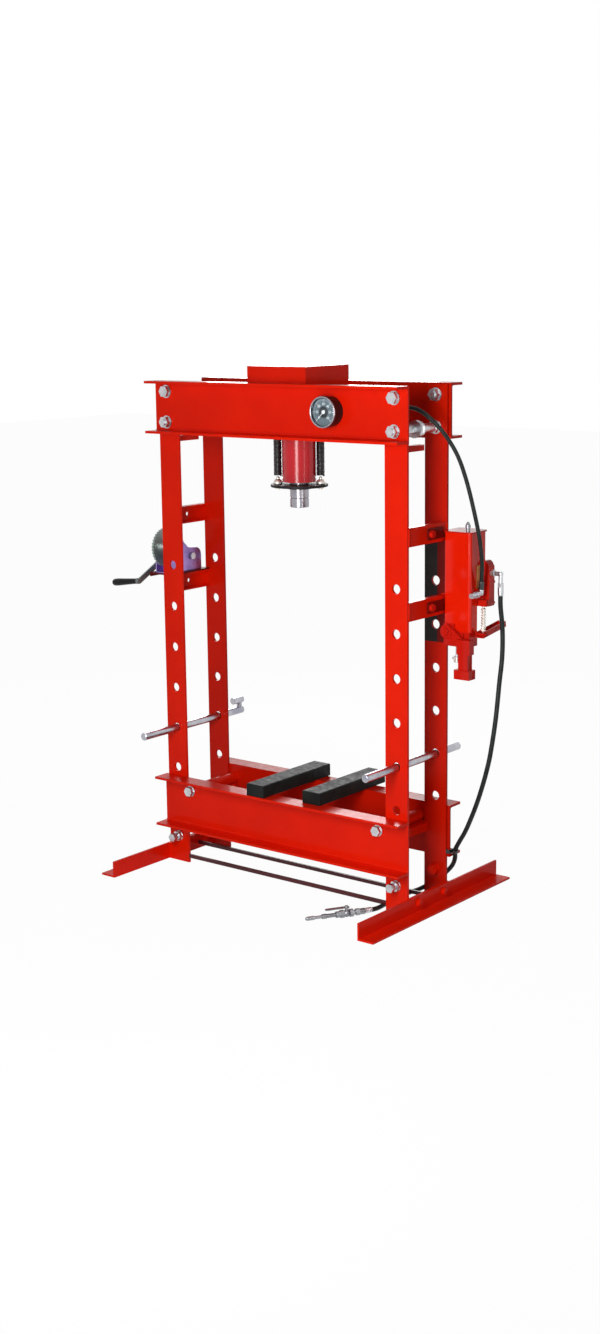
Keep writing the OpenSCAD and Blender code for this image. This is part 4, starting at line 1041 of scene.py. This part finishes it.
@dataclass
class WeldSeams:
    """Beads of weld along the joints of side guards, bed and head box; places in millimetres."""

    radius: float = 0.0032
    ripple: float = 0.0045
    guard_tops: Sequence[float] = (1320, 1073)
    guard_side: float = 541
    guard_drop: tuple[float, float] = (60, 3)
    guard_reach: tuple[float, float] = (520, 539)
    post_face: float = 111
    bed_reach: tuple[float, float] = (414, 462)
    bed_height: float = 261
    head_reach: float = 125
    head_face: float = 121
    head_height: float = 1780

    def seams(self) -> list[tuple[Point, Point]]:
        """List the seams.

        Returns:
            Both ends of each.
        """
        seams: list[tuple[Point, Point]] = []
        low, high = self.guard_drop
        for side in (-1, 1):
            for top in self.guard_tops:
                for y in (-self.post_face, self.post_face):
                    x = side * self.guard_side
                    inner, outer = (side * reach for reach in self.guard_reach)
                    seams.append(((x, y, top - low), (x, y, top - high)))
                    seams.append(((inner, y, top), (outer, y, top)))
            for y in (-self.post_face, self.post_face):
                inner, outer = (side * reach for reach in self.bed_reach)
                seams.append(((inner, y, self.bed_height), (outer, y, self.bed_height)))
        for y in (-self.head_face, self.head_face):
            seams.append(((-self.head_reach, y, self.head_height), (self.head_reach, y, self.head_height)))
        return seams

    def bead(self, start: Point, end: Point, index: int) -> Piece:
        """Lay one bead of overlapping ripples.

        Args:
            start: First end in millimetres.
            end: Second end in millimetres.
            index: Number of the bead.

        Returns:
            The bead.
        """
        a, b = Vector(mm(*start)), Vector(mm(*end))
        length = (b - a).length
        ripples = max(int(length / self.ripple), 3)
        profile: list[tuple[float, float]] = [(self.radius * 0.3, 0.0)]
        for i in range(ripples):
            z = length * i / ripples
            wave = 1.0 + 0.12 * math.sin(i * 2.3 + index)
            profile += [(self.radius * 0.82 * wave, z + length * 0.15 / ripples),
                        (self.radius * wave, z + length * 0.6 / ripples)]
        profile.append((self.radius * 0.3, length))
        return Bench.turned(f"bead_{index}", profile, a, b - a, 10)

    def build(self) -> None:
        """Lay every bead, as one piece that rides on the frame."""
        piece = Bench.join("weld_beads", [self.bead(*ends, i) for i, ends in enumerate(self.seams())])
        Store.dress(piece, Finish.RED)
        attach(piece, "frame")


@dataclass
class CrankGrip:
    """Turned handle that spins on the crank's rod."""

    pivot: Point = field(default_factory=lambda: from_joint("grip_spin", "pos_m"))
    axis: Point = field(default_factory=lambda: from_joint("grip_spin", "axis"))
    clearance: float = 0.0063
    length: float = 0.122
    radius: float = 0.0135

    def build(self) -> None:
        """Turn the handle."""
        r, long = self.radius, self.length
        foot = Vector(self.pivot) + Vector(self.axis) * self.clearance
        profile = [(r * 0.62, 0.0), (r * 0.74, 0.0015), (r * 0.78, 0.006), (r * 0.72, 0.008),
                   (r * 0.74, 0.010), (r * 0.8, long * 0.25), (r * 0.86, long * 0.45),
                   (r * 0.95, long * 0.65), (r, long * 0.8), (r * 0.99, long * 0.9),
                   (r * 0.92, long * 0.95), (r * 0.78, long * 0.985), (r * 0.5, long * 0.998),
                   (r * 0.2, long)]
        grip = Bench.turned("crank_handle", profile, foot, self.axis, 40)
        Store.dress(grip, Finish.GRIP)
        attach(grip, "grip")
        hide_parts("crank_grip")


@dataclass(frozen=True)
class Batch:
    """Solids whose edges are broken by the same width and that share a finish."""

    finish: Finish
    width: float
    nodes: Sequence[str]
    segments: int = 2


@dataclass
class Steelwork:
    """Sawn, bent and machined steel whose edges are broken."""

    batches: Sequence[Batch] = (
        Batch(Finish.RED, 0.0016, ("upper_beam_front", "post_front_left", "post_front_right",
                                   "side_ties_left", "side_ties_right", "foot_left", "foot_right",
                                   "head_box", "bed_channel_front", "bed_spacers")),
        # Rear parts in the darker red: painted shade.
        Batch(Finish.REAR_RED, 0.0016, ("upper_beam_back", "post_back_left", "post_back_right",
                                        "bed_channel_back")),
        Batch(Finish.PUMP, 0.002, ("reservoir_lid", "pump_base", "air_motor", "treadle",
                                   "handle_socket"), 3),
        # The pump straps get the dark red as painted shade of the pump.
        Batch(Finish.DEEP, 0.002, ("pump_straps", "winch_shelf"), 3),
        # Floor bars in maroon: painted shade under the bed.
        Batch(Finish.MAROON, 0.0015, ("floor_bars",)),
        Batch(Finish.TANK, 0.0016, ("pump_reservoir",)),
        Batch(Finish.CREAM, 0.0008, ("spring_eyes",)),
        Batch(Finish.ZINC, 0.0008, ("beam_bolts", "base_bolts", "oil_fittings", "air_elbow",
                                    "pump_elbow", "release_knob", "crank_shaft", "winch_drum")),
        Batch(Finish.FORGED, 0.0008, ("spring_plate",)),
        Batch(Finish.BLACK, 0.0008, ("hose_clip",)),
        Batch(Finish.IRON, 0.0025, ("press_block_left", "press_block_right"), 3),
        Batch(Finish.PIN_ZINC, 0.001, ("bed_pin_left", "bed_pin_right")),
        Batch(Finish.SATIN, 0.001, ("ram_cap",)),
        Batch(Finish.VIOLET, 0.0012, ("winch_frame",)),
        Batch(Finish.GEAR, 0.0005, ("winch_gear",), 1),
        Batch(Finish.CRANK, 0.0012, ("crank_arm",)),
        Batch(Finish.CYLINDER, 0.0012, ("cylinder_barrel",)),
        Batch(Finish.CASE, 0.0012, ("gauge_case",)),
        Batch(Finish.BRONZE, 0.0008, ("sight_gauge",)))
    bolt_reach: float = 0.1216
    # Heights and inner edge of the pump's shadow, painted onto the back post.
    backing: tuple[float, float] = (0.905, 1.284)
    backing_edge: float = 0.503
    lid_top: float = 1.2935
    painted_below: float = 0.2
    strap_above: float = 1.0
    foot_reach: float = 0.5205

    def build(self) -> None:
        """Break the edges, give each batch its finish and some faces a finish of their own."""
        steel: dict[str, Piece] = {}
        for batch in self.batches:
            for node in batch.nodes:
                steel[node] = Bench.broken_edges(node, batch.width, batch.segments)
                Store.dress(steel[node], batch.finish)
        # Paint the pump's shadow onto the back post.
        self.pump_backing(steel["post_back_right"])
        Store.add(steel["reservoir_lid"], Finish.DULL, lambda face: face.center.z > self.lid_top)
        Store.add(steel["base_bolts"], Finish.RED, self.painted_bolt)
        Store.add(steel["base_bolts"], Finish.PUMP, lambda face: face.center.z > self.strap_above)
        Store.add(steel["bed_spacers"], Finish.ZINC, lambda face: abs(face.center.y) > self.bolt_reach)

    def painted_bolt(self, face: bpy.types.MeshPolygon) -> bool:
        """Tell whether a face is on a bolt of the feet, or on the low bolt at the back right."""
        x, y, z = face.center
        return z < self.painted_below and (abs(x) > self.foot_reach or (x > 0 and y > 0))

    def behind_straps(self, face: bpy.types.MeshPolygon) -> bool:
        """Tell whether a face of the post is on its front, within the height of the pump's painted shadow.
        """
        return face.normal.y < -0.2 and self.backing[0] < face.center.z < self.backing[1]

    def pump_backing(self, post: Piece) -> None:
        """Paint the pump's shadow onto the front of the back post: near black left of the edge, dark red
        right of it.

        Args:
            post: The back post at the right.
        """
        low, high = self.backing
        for place, normal in (((0, 0, low), (0, 0, 1)), ((0, 0, high), (0, 0, 1)),
                              ((self.backing_edge, 0, 0), (1, 0, 0))):
            with Bench.editing(post):
                bpy.ops.mesh.bisect(plane_co=place, plane_no=normal)
        # Painted shadow: near black left of the edge, dark red right of it.
        Store.add(post, Finish.SOOT,
                  lambda face: self.behind_straps(face) and face.center.x < self.backing_edge)
        Store.add(post, Finish.DEEP,
                  lambda face: self.behind_straps(face) and face.center.x > self.backing_edge)
        Bench.smooth(post)
        Bench.weigh_normals(post)


@dataclass
class PlungerSpring:
    """Plunger of the pump inside its ribbed return spring."""

    place: tuple[float, float] = (0.667, 0.144)
    radius: float = 0.0089
    margin: float = 0.008
    turns: int = 9

    def build(self) -> None:
        """Turn the plunger with its spring."""
        box_low, box_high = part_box("pump_plunger")
        r, low = self.radius, self.margin
        high = box_high.z - box_low.z - self.margin
        step = (high - low) / self.turns
        profile: list[tuple[float, float]] = [(r * 0.42, 0.0), (r * 0.5, 0.001), (r * 0.5, low - 0.0005)]
        for i in range(self.turns):
            z = low + i * step
            profile += [(r * 0.66, z + step * 0.05), (r * 0.92, z + step * 0.22), (r, z + step * 0.42),
                        (r * 0.92, z + step * 0.62), (r * 0.66, z + step * 0.8)]
        profile += [(r * 0.5, high), (r * 0.5, high + 0.0075), (r * 0.42, high + 0.008)]
        piece = Bench.turned("plunger_spring", profile, (*self.place, box_low.z), Axis.UP.value, 28)
        Store.dress(piece, Finish.CREAM)
        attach(piece, "plunger")
        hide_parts("pump_plunger")


@dataclass
class ReleaseGrip:
    """Fluted grip around the foot of the release spindle."""

    pivot: Point = field(default_factory=lambda: from_joint("release_turn", "pos_m"))
    foot: float = 0.8475
    radius: float = 0.0125

    def build(self) -> None:
        """Turn the grip, which rides on the release knob's body."""
        r = self.radius
        profile = [(r * 0.5, 0.0), (r * 0.86, 0.0008), (r, 0.003), (r, 0.008), (r * 0.93, 0.009),
                   (r * 0.93, 0.0105), (r, 0.0115), (r, 0.0165), (r * 0.86, 0.0185), (r * 0.5, 0.0195)]
        grip = Bench.turned("release_grip", profile, (*self.pivot[:2], self.foot), Axis.UP.value, 40)
        Store.dress(grip, Finish.CREAM)
        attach(grip, "release")


@dataclass
class PlainNodes:
    """Solids whose own shape is right and that only need their finish."""

    finishes: dict[str, Finish] = field(default_factory=lambda: {
        "sheave_left": Finish.ZINC, "sheave_right": Finish.ZINC, "ram_rod": Finish.SATIN,
        "air_inlet": Finish.DULL, "quick_plug": Finish.DULL, "valve_lever": Finish.DULL})

    def build(self) -> None:
        """Dress each solid."""
        for node, finish in self.finishes.items():
            solid = frame["nodes"][node]
            Store.dress(solid, finish)
            Bench.smooth(solid)


# ------------------------------------------------------------------ surroundings


@dataclass(frozen=True)
class Lamp:
    """Soft lamp with a rectangular face; its power is in watts."""

    name: str
    place: Point
    target: Point
    size: tuple[float, float]
    power: float

    def build(self) -> None:
        """Hang the lamp and point it at its target."""
        data = bpy.data.lights.new(self.name, "AREA")
        data.shape = "RECTANGLE"
        data.size, data.size_y = self.size
        data.energy = self.power
        lamp = bpy.data.objects.new(self.name, data)
        bpy.context.scene.collection.objects.link(lamp)
        lamp.location = self.place
        lamp.rotation_euler = (Vector(self.target) - Vector(self.place)).to_track_quat("-Z", "Y").to_euler()
        lamp.visible_camera = False


@dataclass
class Studio:
    """White floor and surroundings with plain lamps."""

    sky: float = 0.08
    floor_white: float = 0.97
    floor_grey: float = 0.86
    floor_size: float = 40.0
    floor_drop: float = 0.0005
    lamps: Sequence[Lamp] = (
        Lamp("key", place=(1.1, -2.7, 1.6), target=(0.2, 0, 0.95), size=(0.8, 1.7), power=61.0),
        Lamp("side", place=(3.1, -0.9, 1.5), target=(0.3, 0, 1.1), size=(0.16, 2.1), power=6.5),
        Lamp("back", place=(-1.9, 2.6, 1.9), target=(0, 0, 0.9), size=(1.2, 1.2), power=34.0))

    @staticmethod
    def seen(tree: bpy.types.NodeTree) -> bpy.types.NodeSocket:
        """Tell the rays that show a surface from those that light the press.

        Args:
            tree: Node tree that gets the nodes.

        Returns:
            A value of 1 for camera, glossy and transmission rays, and 0 for the rest.
        """
        path = tree.nodes.new("ShaderNodeLightPath")
        value = path.outputs["Is Camera Ray"]
        for ray in ("Is Glossy Ray", "Is Transmission Ray"):
            node = tree.nodes.new("ShaderNodeMath")
            node.operation = "MAXIMUM"
            tree.links.new(value, node.inputs[0])
            tree.links.new(path.outputs[ray], node.inputs[1])
            value = node.outputs[0]
        return value

    @staticmethod
    def mix(tree: bpy.types.NodeTree, share: bpy.types.NodeSocket, first: bpy.types.Node,
            second: bpy.types.Node, output: bpy.types.Node) -> None:
        """Mix two shaders and show the result.

        Args:
            tree: Node tree of the shaders.
            share: Share of the second one.
            first: First shader.
            second: Second shader.
            output: Node that shows the result.
        """
        node = tree.nodes.new("ShaderNodeMixShader")
        tree.links.new(share, node.inputs["Fac"])
        tree.links.new(first.outputs[0], node.inputs[1])
        tree.links.new(second.outputs[0], node.inputs[2])
        tree.links.new(node.outputs[0], output.inputs["Surface"])

    def world(self) -> None:
        """Show white to the camera and to reflections, and a softer level to the rest."""
        world = bpy.data.worlds.new("surroundings")
        world.use_nodes = True
        tree = world.node_tree
        tree.nodes.clear()
        output = tree.nodes.new("ShaderNodeOutputWorld")
        skies: list[bpy.types.Node] = []
        for strength in (self.sky, 1.0):
            sky = tree.nodes.new("ShaderNodeBackground")
            sky.inputs["Color"].default_value = (1, 1, 1, 1)
            sky.inputs["Strength"].default_value = strength
            skies.append(sky)
        self.mix(tree, self.seen(tree), *skies, output)
        bpy.context.scene.world = world

    def floor(self) -> None:
        """Lay a white floor that keeps a faint shadow."""
        Bench.clear()
        bpy.ops.mesh.primitive_plane_add(size=self.floor_size, location=(0, 0, -self.floor_drop))
        floor = Bench.settle(bpy.context.object, "floor")
        nodes = Nodes("floor_white")
        tree = nodes.tree
        nodes.set(Base_Color=(*[self.floor_grey] * 3, 1), Roughness=0.8, Specular_IOR_Level=0.1)
        glow = tree.nodes.new("ShaderNodeEmission")
        glow.inputs["Strength"].default_value = 1.0
        share = tree.nodes.new("ShaderNodeMath")
        share.operation = "MULTIPLY"
        share.inputs[1].default_value = self.floor_white
        nodes.join(self.seen(tree), share.inputs[0])
        self.mix(tree, share.outputs[0], nodes.shader, glow, nodes.output)
        floor.data.materials.append(nodes.material)

    def build(self) -> None:
        """Set up world, floor and lamps."""
        bpy.context.scene.view_settings.view_transform = "Standard"
        self.world()
        self.floor()
        for lamp in self.lamps:
            lamp.build()


# ------------------------------------------------------------------ the press


class ShopPress:
    """The whole press, dressed in order."""

    def hoses(self) -> None:
        """Lay both hoses, then press on their collars."""
        for hose in HOSES:
            hose.build()
        for hose in HOSES:
            hose.collars()

    def springs(self) -> None:
        """Turn the nuts of the return springs, then wind the springs."""
        for spring in SPRINGS:
            spring.hold()
        for spring in SPRINGS:
            spring.build()

    def build(self) -> None:
        """Build and dress every sub-assembly."""
        for name, step in (("hoses", self.hoses), ("springs", self.springs),
                           ("steelwork", Steelwork().build), ("gauge", PressureGauge().build),
                           ("welds", WeldSeams().build), ("grip", CrankGrip().build),
                           ("plunger", PlungerSpring().build), ("release grip", ReleaseGrip().build),
                           ("plain nodes", PlainNodes().build), ("studio", Studio().build)):
            step()
            log.info("built %s", name)


def main() -> None:
    """Build the scene."""
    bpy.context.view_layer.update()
    Viewpoint().build()
    ShopPress().build()


if __name__ == "__main__":
    main()
